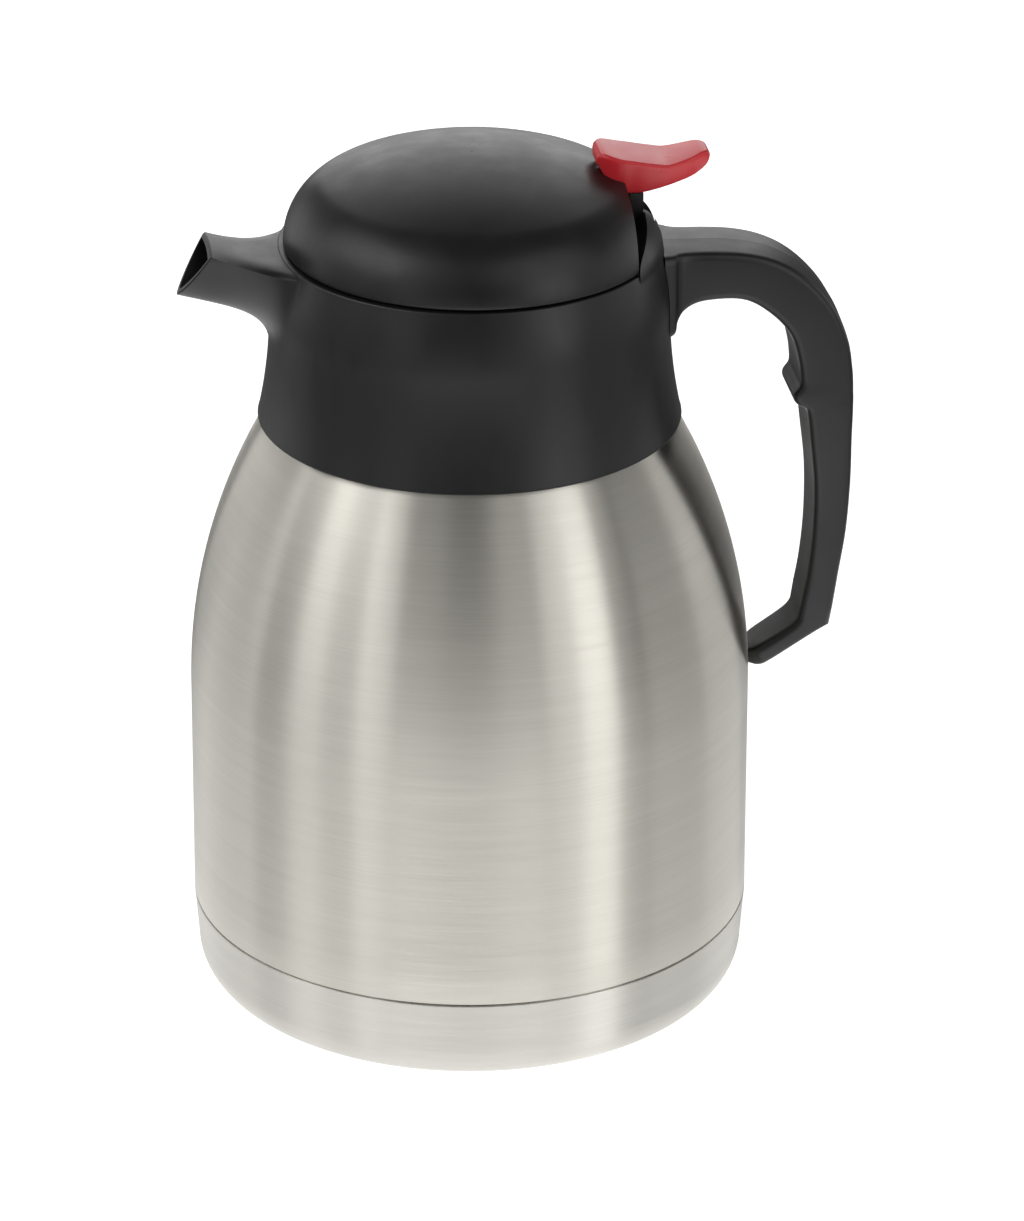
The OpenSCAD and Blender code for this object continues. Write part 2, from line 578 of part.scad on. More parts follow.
// Return spring: one round wire swept along a leg, the coil and a short end
spring_r = pin_r + 0.5 + spring_wire / 2;
spring_pitch = spring_wire + 0.5;
spring_y = slot_w / 2 + 0.5 + spring_wire / 2;
leg_l = 10;
coil_steps = 8;
coil_path = [for (i = [0:spring_turns * coil_steps]) let (a = 90 - 360 * i / coil_steps)
    [hinge_x + spring_r * cos(a), spring_y + spring_pitch * i / coil_steps, hinge_z + spring_r * sin(a)]];
leg_drop = hinge_z + spring_r - pan_top_z - spring_wire / 2 - 0.05;
spring_leg = [for (k = [4:-1:1]) coil_path[0] - [leg_l * k / 4, 0, leg_drop * pow(k / 4, 1.5)]];
spring_path = concat(spring_leg, coil_path, [coil_path[len(coil_path) - 1] + [2.4, 0, 0]]);
function wire_ring(path, i, r) =
    let (t = path[min(i + 1, len(path) - 1)] - path[max(i - 1, 0)])
    let (n = cross(t, [0, 1, 0]) / norm(cross(t, [0, 1, 0])))
    let (b = cross(t, n) / norm(cross(t, n)))
    [for (a = [0:60:300]) path[i] + r * (cos(a) * n + sin(a) * b)];
// Least gap of the wire to itself, from points at least half a turn apart
spring_gap = min([for (i = [0:len(spring_path) - 1]) for (j = [i + coil_steps / 2:len(spring_path) - 1])
    norm(spring_path[i] - spring_path[j])]) - spring_wire;
echo(spring_least_gap = spring_gap);
module torsion_spring() {
    color(steel) loft([for (i = [0:len(spring_path) - 1]) wire_ring(spring_path, i, spring_wire / 2)]);
}

tip_z = pan_z - stopper_h;
seal_z = 192;
seal_r = 30.9;
stopper_top_r = seal_r + 5.1;
core_r = 5;
module stopper() {
    color(black) rotate_extrude() polygon([
        [screw_r, tip_z + 6], [0, tip_z + 6], [0, tip_z],
        [stopper_tip_r - 1.5, tip_z], [stopper_tip_r, tip_z + 1.5],
        [seal_r + 1.5, seal_z - 0.2], [seal_r, seal_z], [seal_r, seal_z + 2.4], [seal_r + 2, seal_z + 2.6],
        [stopper_top_r - 2, pan_z - 3], [stopper_top_r, pan_z - 2], [stopper_top_r, pan_z],
        [stopper_top_r - stopper_wall, pan_z], [stopper_top_r - 3 - stopper_wall, pan_z - 3],
        [seal_r - stopper_wall, seal_z + 2.6], [seal_r - stopper_wall, seal_z],
        [stopper_tip_r - stopper_wall, tip_z + stopper_wall], [core_r, tip_z + stopper_wall],
        [core_r, pan_z], [screw_r, pan_z]]);
}
module stopper_foam() {
    color(foam) rotate_extrude() polygon([
        [core_r + fit, tip_z + stopper_wall + fit],
        [stopper_tip_r - stopper_wall - 0.3, tip_z + stopper_wall + fit],
        [seal_r - stopper_wall - 0.3, seal_z], [seal_r - stopper_wall - 0.3, pan_z - 2],
        [core_r + fit, pan_z - 2]]);
}
module stopper_seal() {
    lip_r = 37.4;
    color(silicone) rotate_extrude() polygon([
        [seal_r, seal_z], [seal_r + 2.4, seal_z - 0.2], [lip_r, seat_at(lip_r) + clear / cos(seat_slope)],
        [lip_r + 0.3, seat_at(lip_r) + 0.9], [seal_r + 3, seal_z + 2.2], [seal_r, seal_z + 2.4]]);
}
module stopper_screw() {
    color(steel) translate([0, 0, pan_top_z]) mirror([0, 0, 1])
        screw(screw_r, 14, screw_head_r, screw_head_h);
}

// Lever stations: [x, top z, lower z, half width above, half width below]
lever_stations = [
    [32.4, lever_top_z - 1.8, lever_top_z - 3.2, lever_w - 4.2, lever_w - 4.8],
    [33, lever_top_z - 0.5, lever_top_z - 4, lever_w - 2.8, lever_w - 3.8],
    [34.4, lever_top_z, lever_seat_z + 5.4, lever_w - 1.5, lever_w - 2.5],
    [36.8, lever_top_z - 0.6, lever_seat_z + 2.8, lever_w - 0.4, lever_w - 1.8],
    [lid_back_x - 0.6, lever_top_z - 1.2, lever_seat_z + 0.6, lever_w, lever_w - 2.8],
    [41.6, lever_top_z - 1.7, lever_seat_z, lever_w, lever_w - 3.6],
    [hinge_x, lever_top_z - 2.3, lever_seat_z, lever_w, lever_w - 3.8],
    [48, lever_top_z - 2.9, lever_seat_z + 0.8, lever_w - 0.1, lever_w - 3.6],
    [50.6, lever_top_z - 3.3, lever_seat_z + 1.6, lever_w - 0.2, lever_w - 3.4],
    [53.2, lever_top_z - 2.9, lever_seat_z + 2.4, lever_w - 0.8, lever_w - 3.5],
    [57, lever_top_z - 1.9, lever_seat_z + 3.8, lever_w - 2, lever_w - 4.2],
    [lever_end_x - 2.2, lever_top_z - 1.1, lever_seat_z + 6, lever_w - 3.6, lever_w - 5.2],
    [lever_end_x - 0.7, lever_top_z - 1.2, lever_seat_z + 7.4, lever_w - 4.8, lever_w - 5.8],
    [lever_end_x, lever_top_z - 2.2, lever_seat_z + 8.8, lever_w - 6, lever_w - 6.5]];
function lever_ring(s) = concat(
    [for (y = [-1, 1]) [s[0], y * s[4], s[2]]],
    [for (e = [[0, 0.9], [0.3, 0.3], [1, 0]]) [s[0], s[3] - e[0], s[1] - e[1]]],
    [for (e = [[1, 0], [0.3, 0.3], [0, 0.9]]) [s[0], e[0] - s[3], s[1] - e[1]]]);
module thumb_lever() {
    color(red) difference() {
        loft([for (s = lever_stations) lever_ring(s)]);
        before(lid_back_x) dome_solid(-0.02);
        translate([lever_screw_x, 0, lever_screw_z]) cylinder(r = 1.3, h = 6);
    }
}
module lever_screw() {
    color(steel) translate([lever_screw_x, 0, lever_screw_z]) screw(1.3, 6, lever_head_r, 1.6);
}

outer_shell();
inner_flask();
vacuum_bottom();
getter();
base_cap();
neck_gasket();
neck_ring();
collar();
handle();
handle_screws();
strut_bracket();
hinge_pin();
torsion_spring();
lid_dome();
lid_pan();
lid_screws();
stopper();
stopper_foam();
stopper_seal();
stopper_screw();
thumb_lever();
lever_screw();
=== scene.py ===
"""Looks of a vacuum-insulated jug with a flip lid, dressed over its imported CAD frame.

Metres, origin in the middle of the underside, +Z up, handle towards +X, spout towards -X.
"""

from __future__ import annotations

import json
import logging
import math
from dataclasses import dataclass, field
from enum import Enum
from typing import Callable, Iterable, Sequence

import bmesh
import bpy
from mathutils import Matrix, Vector

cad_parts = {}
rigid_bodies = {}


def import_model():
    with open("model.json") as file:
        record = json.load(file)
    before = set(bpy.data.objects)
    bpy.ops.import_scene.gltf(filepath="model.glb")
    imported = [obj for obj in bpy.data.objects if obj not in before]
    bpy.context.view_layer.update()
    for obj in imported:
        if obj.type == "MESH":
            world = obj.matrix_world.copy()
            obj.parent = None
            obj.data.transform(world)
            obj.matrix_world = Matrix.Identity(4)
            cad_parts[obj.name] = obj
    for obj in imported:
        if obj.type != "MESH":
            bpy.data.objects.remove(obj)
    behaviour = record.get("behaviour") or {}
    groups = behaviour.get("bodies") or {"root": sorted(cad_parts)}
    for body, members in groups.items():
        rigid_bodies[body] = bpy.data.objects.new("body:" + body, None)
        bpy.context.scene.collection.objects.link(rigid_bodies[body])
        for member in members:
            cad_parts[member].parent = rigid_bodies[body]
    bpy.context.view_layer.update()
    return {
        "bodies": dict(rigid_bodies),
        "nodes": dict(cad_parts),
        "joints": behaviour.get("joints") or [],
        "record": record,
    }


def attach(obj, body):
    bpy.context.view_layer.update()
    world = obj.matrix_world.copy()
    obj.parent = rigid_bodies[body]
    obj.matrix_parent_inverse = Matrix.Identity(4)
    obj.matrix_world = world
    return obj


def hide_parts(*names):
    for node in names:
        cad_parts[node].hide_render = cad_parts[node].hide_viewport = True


LOG = logging.getLogger("jug")
MM = 0.001
Point = tuple[float, float]
Place = tuple[float, float, float]
Colour = tuple[float, float, float]


# Shader building


class Value:
    """A socket that takes part in Python arithmetic; each operator adds a Math node."""

    def __init__(self, graph: "Graph", socket: bpy.types.NodeSocket) -> None:
        """Keeps the socket and the graph that it belongs to."""
        self.graph = graph
        self.socket = socket

    def _math(self, operation: str, *operands: "Value | float") -> "Value":
        """Adds one Math node.

        Args:
            operation: the node's operation.
            operands: its inputs in order, values or plain numbers.

        Returns:
            The node's result.
        """
        inputs = {index: operand for index, operand in enumerate(operands)}
        return self.graph.add("ShaderNodeMath", {"operation": operation}, inputs).out()

    def __add__(self, other: "Value | float") -> "Value":
        """self + other"""
        return self._math("ADD", self, other)

    def __radd__(self, other: float) -> "Value":
        """other + self"""
        return self._math("ADD", other, self)

    def __sub__(self, other: "Value | float") -> "Value":
        """self - other"""
        return self._math("SUBTRACT", self, other)

    def __rsub__(self, other: float) -> "Value":
        """other - self"""
        return self._math("SUBTRACT", other, self)

    def __mul__(self, other: "Value | float") -> "Value":
        """self * other"""
        return self._math("MULTIPLY", self, other)

    def __rmul__(self, other: float) -> "Value":
        """other * self"""
        return self._math("MULTIPLY", other, self)

    def __lt__(self, other: "Value | float") -> "Value":
        """1 where self is less than other, 0 elsewhere"""
        return self._math("LESS_THAN", self, other)

    def __gt__(self, other: "Value | float") -> "Value":
        """1 where self is more than other, 0 elsewhere"""
        return self._math("GREATER_THAN", self, other)

    def __abs__(self) -> "Value":
        """The size of self without its sign"""
        return self._math("ABSOLUTE", self)

    def ramp(self, low: float, high: float, to_low: float = 0.0, to_high: float = 1.0) -> "Value":
        """Maps the span low..high smoothly onto to_low..to_high.

        Args:
            low: the value that gives to_low.
            high: the value that gives to_high.
            to_low: the result at and under low.
            to_high: the result at and over high.

        Returns:
            The mapped value.
        """
        settings = {"interpolation_type": "SMOOTHSTEP", "clamp": True}
        inputs = {"Value": self, "From Min": low, "From Max": high, "To Min": to_low, "To Max": to_high}
        return self.graph.add("ShaderNodeMapRange", settings, inputs).out("Result")


class Node:
    """A placed node, with its outputs by name."""

    def __init__(self, graph: "Graph", node: bpy.types.Node) -> None:
        """Keeps the node and its graph."""
        self.graph = graph
        self.node = node

    def out(self, name: str | int = 0) -> Value:
        """Returns one of the node's outputs."""
        return Value(self.graph, self.node.outputs[name])


class Graph:
    """The node tree of one finish, with its object coordinates at hand."""

    def __init__(self, name: str) -> None:
        """Starts an empty material.

        Args:
            name: the material's name.
        """
        self.material = bpy.data.materials.new(name)
        self.material.use_nodes = True
        self.tree = self.material.node_tree
        self.tree.nodes.clear()
        self.place = self.add("ShaderNodeTexCoord").out("Object")
        axes = self.add("ShaderNodeSeparateXYZ", inputs={"Vector": self.place})
        self.x, self.y, self.z = axes.out("X"), axes.out("Y"), axes.out("Z")

    def add(
        self,
        kind: str,
        settings: dict[str, object] | None = None,
        inputs: dict[str | int, object] | None = None,
    ) -> Node:
        """Adds a node.

        Args:
            kind: the node's type.
            settings: its properties, set before the sockets.
            inputs: its sockets, each a value to link or a constant.

        Returns:
            The placed node.
        """
        node = self.tree.nodes.new(kind)
        for name, value in (settings or {}).items():
            setattr(node, name, value)
        for name, value in (inputs or {}).items():
            if isinstance(value, Value):
                self.tree.links.new(value.socket, node.inputs[name])
            else:
                node.inputs[name].default_value = value
        return Node(self, node)

    def stretched(self, sx: float, sy: float, sz: float) -> Value:
        """Returns the object coordinates times a factor along each axis."""
        inputs = {0: self.place, 1: (sx, sy, sz)}
        return self.add("ShaderNodeVectorMath", {"operation": "MULTIPLY"}, inputs).out()

    def noise(self, where: Value, scale: float, detail: float = 2.0, roughness: float = 0.5) -> Value:
        """Adds a noise texture.

        Args:
            where: the coordinates that it reads.
            scale: its scale.
            detail: its number of octaves.
            roughness: how strong the finer octaves are.

        Returns:
            The noise from 0 to 1.
        """
        inputs = {"Vector": where, "Scale": scale, "Detail": detail, "Roughness": roughness}
        return self.add("ShaderNodeTexNoise", {"noise_dimensions": "3D"}, inputs).out("Fac")

    def blend(self, share: Value | float, first: Colour, second: Colour) -> Value:
        """Mixes two colours.

        Args:
            share: how much of the second colour shows, 0 to 1.
            first: the colour at 0.
            second: the colour at 1.

        Returns:
            The mixed colour.
        """
        inputs = {"Factor": share, 6: (*first, 1.0), 7: (*second, 1.0)}
        node = self.add("ShaderNodeMix", {"data_type": "RGBA"}, inputs)
        return node.out(2)

    def bump(self, height: Value, strength: float, distance: float) -> Value:
        """Turns a height into a bent normal.

        Args:
            height: the height, 0 to 1.
            strength: how much of it shows.
            distance: the height of 1, in metres.

        Returns:
            The normal.
        """
        inputs = {"Height": height, "Strength": strength, "Distance": distance}
        return self.add("ShaderNodeBump", inputs=inputs).out("Normal")

    def finish(self, sockets: dict[str, object]) -> bpy.types.Material:
        """Ends the graph with a Principled shader.

        Args:
            sockets: the shader's sockets, values or constants.

        Returns:
            The finished material.
        """
        shader = self.add("ShaderNodeBsdfPrincipled", {"distribution": "MULTI_GGX"}, sockets)
        self.add("ShaderNodeOutputMaterial", inputs={"Surface": shader.out()})
        return self.material


# Finishes


@dataclass(frozen=True)
class BrushedSteel:
    """Steel brushed round the jug's axis, as on the outer walls."""

    name: str
    light: Colour = (0.62, 0.6, 0.545)
    dark: Colour = (0.555, 0.535, 0.485)
    roughness: float = 0.36
    stretch: float = 1.0

    def build(self) -> bpy.types.Material:
        """Returns the material: fine rings of scratches, with a few longer and stronger ones."""
        g = Graph(self.name)
        fine = g.noise(g.stretched(1, 1, 70), 38.0, 3.0, 0.62)
        broad = g.noise(g.stretched(1, 1, 22), 16.0, 2.0, 0.5)
        cloud = g.noise(g.place, 14.0, 2.0)
        share = (fine * 0.55 + broad * 0.3 + cloud * 0.15).ramp(0.3, 0.7)
        rough = fine.ramp(0.25, 0.75, self.roughness - 0.03, self.roughness + 0.03)
        return g.finish(
            {
                "Base Color": g.blend(share, self.dark, self.light),
                "Metallic": 1.0,
                "Roughness": rough + cloud * 0.03,
                "Anisotropic": self.stretch,
                "Anisotropic Rotation": 0.25,
                "Normal": g.bump(fine * 0.8 + broad * 0.2, 0.012, 0.0002),
            }
        )


@dataclass(frozen=True)
class Moulded:
    """Moulded plastic with a spark-eroded grain and, where asked, a parting line at mid width."""

    name: str
    colour: Colour
    worn: Colour
    roughness: float
    grain: float = 0.1
    grain_scale: float = 2600.0
    parting_from_x: tuple[float, float] | None = None

    def build(self) -> bpy.types.Material:
        """Returns the material: fine grain, soft cloudiness and handling marks."""
        g = Graph(self.name)
        grain = g.noise(g.place, self.grain_scale, 2.0, 0.6)
        cloud = g.noise(g.place, 26.0, 3.0, 0.55)
        marks = g.noise(g.stretched(1, 1, 0.35), 110.0, 4.0, 0.6)
        height = grain
        if self.parting_from_x is not None:
            low, high = self.parting_from_x
            line = 1.0 - abs(g.y).ramp(0.00008, 0.00028)
            where = (g.x > high) + (g.x < low)
            height = grain + line * where * 3.0
        rough = marks.ramp(0.35, 0.75, self.roughness + 0.02, self.roughness - 0.05)
        return g.finish(
            {
                "Base Color": g.blend(cloud.ramp(0.35, 0.75), self.colour, self.worn),
                "Roughness": rough + (grain - 0.5) * 0.06,
                "Specular IOR Level": 0.42,
                "Normal": g.bump(height, self.grain, 0.0001),
            }
        )


@dataclass(frozen=True)
class PlainMetal:
    """Unbrushed sheet or wire: the flask's inside, the screws, the pin and the spring."""

    name: str
    colour: Colour
    roughness: float

    def build(self) -> bpy.types.Material:
        """Returns the material: drawn metal with soft blotches."""
        g = Graph(self.name)
        cloud = g.noise(g.place, 60.0, 4.0, 0.6)
        fine = g.noise(g.place, 900.0, 2.0)
        darker = tuple(channel * 0.86 for channel in self.colour)
        return g.finish(
            {
                "Base Color": g.blend(cloud, darker, self.colour),
                "Metallic": 1.0,
                "Roughness": cloud.ramp(0.3, 0.7, self.roughness - 0.06, self.roughness + 0.08),
                "Normal": g.bump(fine, 0.05, 0.0001),
            }
        )


@dataclass(frozen=True)
class Soft:
    """Silicone or foam: no metal, a broad sheen and a soft texture."""

    name: str
    colour: Colour
    shade: Colour
    roughness: float
    pore_scale: float
    pore_depth: float

    def build(self) -> bpy.types.Material:
        """Returns the material."""
        g = Graph(self.name)
        pores = g.noise(g.place, self.pore_scale, 4.0, 0.6)
        return g.finish(
            {
                "Base Color": g.blend(pores, self.shade, self.colour),
                "Roughness": pores.ramp(0.3, 0.7, self.roughness - 0.08, self.roughness + 0.08),
                "Normal": g.bump(pores, 0.4, self.pore_depth),
            }
        )


@dataclass(frozen=True)
class PaleFloor:
    """The plain pale floor under the jug."""

    name: str = "pale_floor"
    colour: Colour = (0.86, 0.86, 0.86)
    glow: float = 0.75

    def build(self) -> bpy.types.Material:
        """Returns the material: matt paper with hardly any tone."""
        g = Graph(self.name)
        paper = g.noise(g.place, 30.0, 3.0)
        lighter = tuple(min(channel * 1.01, 1.0) for channel in self.colour)
        glow = {"Emission Color": g.blend(paper, self.colour, lighter), "Emission Strength": self.glow}
        return g.finish({"Base Color": g.blend(paper, self.colour, lighter), "Roughness": 0.9} | glow)


BLACK: Colour = (0.005, 0.005, 0.0055)
HANDLED_BLACK: Colour = (0.0075, 0.0075, 0.008)


class Finish(Enum):
    """Every finish of the jug."""

    SHELL = BrushedSteel("brushed_shell")
    CUP = BrushedSteel("brushed_cup", (0.65, 0.635, 0.59), (0.585, 0.57, 0.53), 0.38)
    FLASK = PlainMetal("flask_inside", (0.74, 0.74, 0.72), 0.24)
    WIRE = PlainMetal("screws_and_wire", (0.6, 0.6, 0.6), 0.32)
    COLLAR = Moulded("collar_black", BLACK, HANDLED_BLACK, 0.4, 0.1)
    HANDLE = Moulded("handle_black", BLACK, HANDLED_BLACK, 0.41, 0.1, parting_from_x=(-0.05, 0.05))
    DOME = Moulded("dome_black", (0.005, 0.005, 0.0053), (0.007, 0.007, 0.0074), 0.4, 0.12, 2200.0)
    LEVER = Moulded("lever_red", (0.56, 0.022, 0.03), (0.62, 0.03, 0.038), 0.32, 0.06)
    SEAL = Soft("pale_silicone", (0.62, 0.61, 0.58), (0.52, 0.51, 0.48), 0.5, 400.0, 0.0001)
    FOAM = Soft("cream_foam", (0.82, 0.78, 0.64), (0.7, 0.66, 0.52), 0.9, 900.0, 0.0005)
    FLOOR = PaleFloor()


class Palette:
    """Builds each finish once and hands it out."""

    def __init__(self) -> None:
        """Starts with nothing built."""
        self._built: dict[Finish, bpy.types.Material] = {}

    def get(self, finish: Finish) -> bpy.types.Material:
        """Returns the material of a finish."""
        if finish not in self._built:
            self._built[finish] = finish.value.build()
        return self._built[finish]


# Mesh helpers, each one a step that a modeller takes by hand


def activate(piece: bpy.types.Object) -> None:
    """Makes a piece the only selected object."""
    if bpy.context.object and bpy.context.object.mode != "OBJECT":
        bpy.ops.object.mode_set(mode="OBJECT")
    bpy.ops.object.select_all(action="DESELECT")
    piece.select_set(True)
    bpy.context.view_layer.objects.active = piece


def start(name: str, add: Callable[..., set[str]], **options: object) -> bpy.types.Object:
    """Adds a primitive with nothing else selected.

    Args:
        name: the new piece's name.
        add: the operator that adds the primitive.
        options: the operator's options.

    Returns:
        The new object.
    """
    if bpy.context.object and bpy.context.object.mode != "OBJECT":
        bpy.ops.object.mode_set(mode="OBJECT")
    bpy.ops.object.select_all(action="DESELECT")
    add(**options)
    piece = bpy.context.object
    piece.name = name
    piece.data.name = name
    return piece


def freeze(piece: bpy.types.Object) -> None:
    """Puts the piece's place and size into its mesh, with its object at the origin."""
    activate(piece)
    bpy.ops.object.transform_apply(location=True, rotation=True, scale=True)


def modify(piece: bpy.types.Object, kind: str, **settings: object) -> None:
    """Adds a modifier and applies it.

    Args:
        piece: the piece.
        kind: the modifier's type.
        settings: its settings.
    """
    activate(piece)
    modifier = piece.modifiers.new(kind.lower(), kind)
    for name, value in settings.items():
        setattr(modifier, name, value)
    bpy.ops.object.modifier_apply(modifier=modifier.name)


def smooth(piece: bpy.types.Object, degrees: float = 32.0) -> None:
    """Shades a piece smooth, with sharp edges over an angle."""
    activate(piece)
    bpy.ops.object.shade_smooth_by_angle(angle=math.radians(degrees))


def outward(piece: bpy.types.Object) -> None:
    """Merges doubles and points all faces out of a closed piece."""
    activate(piece)
    bpy.ops.object.mode_set(mode="EDIT")
    bpy.ops.mesh.select_all(action="SELECT")
    bpy.ops.mesh.remove_doubles(threshold=1e-6)
    bpy.ops.mesh.normals_make_consistent(inside=False)
    bpy.ops.object.mode_set(mode="OBJECT")


def arc(centre: Point, radius: float, first: float, last: float, steps: int) -> list[Point]:
    """Points on a circle.

    Args:
        centre: the circle's middle.
        radius: its radius.
        first: the first angle in degrees.
        last: the last angle in degrees.
        steps: the number of spans.

    Returns:
        The points from first to last.
    """
    angles = [math.radians(first + (last - first) * i / steps) for i in range(steps + 1)]
    return [(centre[0] + radius * math.cos(a), centre[1] + radius * math.sin(a)) for a in angles]


def turned(name: str, outline: Sequence[Point], sides: int = 192, middle_x: float = 0.0) -> bpy.types.Object:
    """Turns a closed outline about a vertical axis, ring by ring.

    Args:
        name: the piece's name.
        outline: (radius, height) in millimetres, round the section; radius 0 closes a pole.
        sides: the number of sides.
        middle_x: where the axis stands, in millimetres.

    Returns:
        The turned piece.
    """
    least = 0.01
    radii = [max(r, least) * MM for r, _ in outline]
    heights = [z * MM for _, z in outline]
    piece = start(
        name,
        bpy.ops.mesh.primitive_circle_add,
        vertices=sides,
        radius=radii[0],
        location=(middle_x * MM, 0, heights[0]),
    )
    freeze(piece)
    bpy.ops.object.mode_set(mode="EDIT")
    bpy.ops.mesh.select_all(action="SELECT")
    order = list(range(1, len(outline))) + ([0] if outline[0][0] > 0 or outline[-1][0] > 0 else [])
    before = 0
    for index in order:
        lift = heights[index] - heights[before]
        bpy.ops.mesh.extrude_region_move(TRANSFORM_OT_translate={"value": (0, 0, lift)})
        grow = radii[index] / radii[before]
        bpy.ops.transform.resize(value=(grow, grow, 1), center_override=(middle_x * MM, 0, heights[index]))
        before = index
    bpy.ops.mesh.select_all(action="SELECT")
    bpy.ops.mesh.remove_doubles(threshold=3e-5)
    bpy.ops.mesh.normals_make_consistent(inside=False)
    bpy.ops.object.mode_set(mode="OBJECT")
    return piece


def lofted(name: str, rings: Sequence[Sequence[Place]]) -> bpy.types.Object:
    """Draws a closed section along its stations: a filled circle, extruded and set ring by ring.

    Args:
        name: the piece's name.
        rings: the section's points at each station, in millimetres, all rings in the same order.

    Returns:
        The closed piece.
    """
    piece = start(name, bpy.ops.mesh.primitive_circle_add, vertices=len(rings[0]), fill_type="NGON")
    bpy.ops.object.mode_set(mode="EDIT")
    bpy.ops.mesh.select_all(action="SELECT")
    order: dict[Place, int] = {}
    for ring in rings:
        if order:
            bpy.ops.mesh.extrude_region_move()
        cage = bmesh.from_edit_mesh(piece.data)
        taken = [vertex for vertex in cage.verts if vertex.select]
        places = [order[tuple(vertex.co)] for vertex in taken] if order else range(len(taken))
        order = {}
        for vertex, index in zip(taken, places):
            vertex.co = [value * MM for value in ring[index]]
            order[tuple(vertex.co)] = index
        bmesh.update_edit_mesh(piece.data)
    bpy.ops.mesh.select_all(action="SELECT")
    bpy.ops.mesh.normals_make_consistent(inside=False)
    bpy.ops.object.mode_set(mode="OBJECT")
    return piece


def block(low: Place, high: Place) -> bpy.types.Object:
    """Adds a box between two corners in millimetres."""
    middle = [(a + b) / 2 * MM for a, b in zip(low, high)]
    spans = [(b - a) * MM for a, b in zip(low, high)]
    piece = start("block", bpy.ops.mesh.primitive_cube_add, size=1, location=middle, scale=spans)
    freeze(piece)
    return piece


def rod(x: float, z: float, y0: float, y1: float, radius: float) -> bpy.types.Object:
    """Adds a round rod along Y, in millimetres."""
    place = (x * MM, (y0 + y1) / 2 * MM, z * MM)
    piece = start(
        "rod",
        bpy.ops.mesh.primitive_cylinder_add,
        vertices=64,
        radius=radius * MM,
        depth=(y1 - y0) * MM,
        location=place,
        rotation=(math.pi / 2, 0, 0),
    )
    freeze(piece)
    return piece


def prism(outline: Sequence[Point], y0: float, y1: float) -> bpy.types.Object:
    """Extrudes an outline of (x, z) along Y, in millimetres."""
    return lofted("prism", [[(x, y, z) for x, z in outline] for y in (y0, y1)])


class Join(Enum):
    """How two solids are put together."""

    ADD = "UNION"
    CUT = "DIFFERENCE"
    COMMON = "INTERSECT"


def combine(piece: bpy.types.Object, other: bpy.types.Object, how: Join) -> None:
    """Joins or cuts a piece with another, which is used up.

    Args:
        piece: the piece that stays.
        other: the piece that is joined to it or cuts it.
        how: whether it is joined, cut away or kept in common.
    """
    modify(piece, "BOOLEAN", object=other, operation=how.value, solver="EXACT")
    bpy.data.meshes.remove(other.data)


def rounded(corners: Sequence[Point], radii: Sequence[float], steps: int) -> list[Point]:
    """Rounds the corners of an outline.

    Args:
        corners: the outline's corners in order.
        radii: how far back from each corner the curve starts.
        steps: the spans of each curve.

    Returns:
        The rounded outline.
    """
    points = []
    for index, (corner, radius) in enumerate(zip(corners, radii)):
        here = Vector(corner)
        back = Vector(corners[index - 1]) - here
        ahead = Vector(corners[(index + 1) % len(corners)]) - here
        first = here + back.normalized() * min(radius, back.length * 0.49)
        last = here + ahead.normalized() * min(radius, ahead.length * 0.49)
        for step in range(steps + 1):
            t = step / steps
            mixed = first * (1 - t) ** 2 + here * (2 * t * (1 - t)) + last * t**2
            points.append((mixed.x, mixed.y))
    return points


def between(stations: Sequence[Sequence[float]], parts: int) -> list[list[float]]:
    """Adds stations between the given ones along a smooth curve through all of them.

    Args:
        stations: rows of numbers.
        parts: how many spans each span becomes.

    Returns:
        The longer list of rows.
    """
    rows = []
    last = len(stations) - 1
    for i in range(last):
        a, b, c, d = (stations[min(max(i + k, 0), last)] for k in (-1, 0, 1, 2))
        for step in range(parts):
            t = step / parts
            row = []
            for p, q, r, s in zip(a, b, c, d):
                square = 2 * p - 5 * q + 4 * r - s
                cube = 3 * q - p - 3 * r + s
                row.append(0.5 * (2 * q + (r - p) * t + square * t**2 + cube * t**3))
            rows.append(row)
    rows.append(list(stations[last]))
    return rows


# The jug


@dataclass
class Workshop:
    """What every sub-assembly needs: the frame and the palette."""

    frame: dict
    palette: Palette = field(default_factory=Palette)

    def paint(self, piece: bpy.types.Object, finish: Finish) -> None:
        """Gives a piece one finish all over."""
        piece.data.materials.clear()
        piece.data.materials.append(self.palette.get(finish))

    def dress(self, node: str, finish: Finish) -> None:
        """Gives a CAD node that stays its finish."""
        shown = self.frame["nodes"][node]
        for slot in shown.material_slots:
            slot.material = self.palette.get(finish)
        if not shown.material_slots:
            shown.data.materials.append(self.palette.get(finish))
        LOG.info("node %s: %s", node, finish.name)

    def mount(
        self, piece: bpy.types.Object, body: str, finish: Finish, slot: str, nodes: Iterable[str]
    ) -> None:
        """Hangs a finished piece on its body in place of CAD nodes.

        Args:
            piece: the piece.
            body: the body that it rides on.
            finish: its finish.
            slot: the record's material slot; not used.
            nodes: the CAD nodes that it stands for.
        """
        self.paint(piece, finish)
        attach(piece, body)
        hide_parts(*nodes)
        LOG.info("piece %s: %d faces on %s", piece.name, len(piece.data.polygons), body)


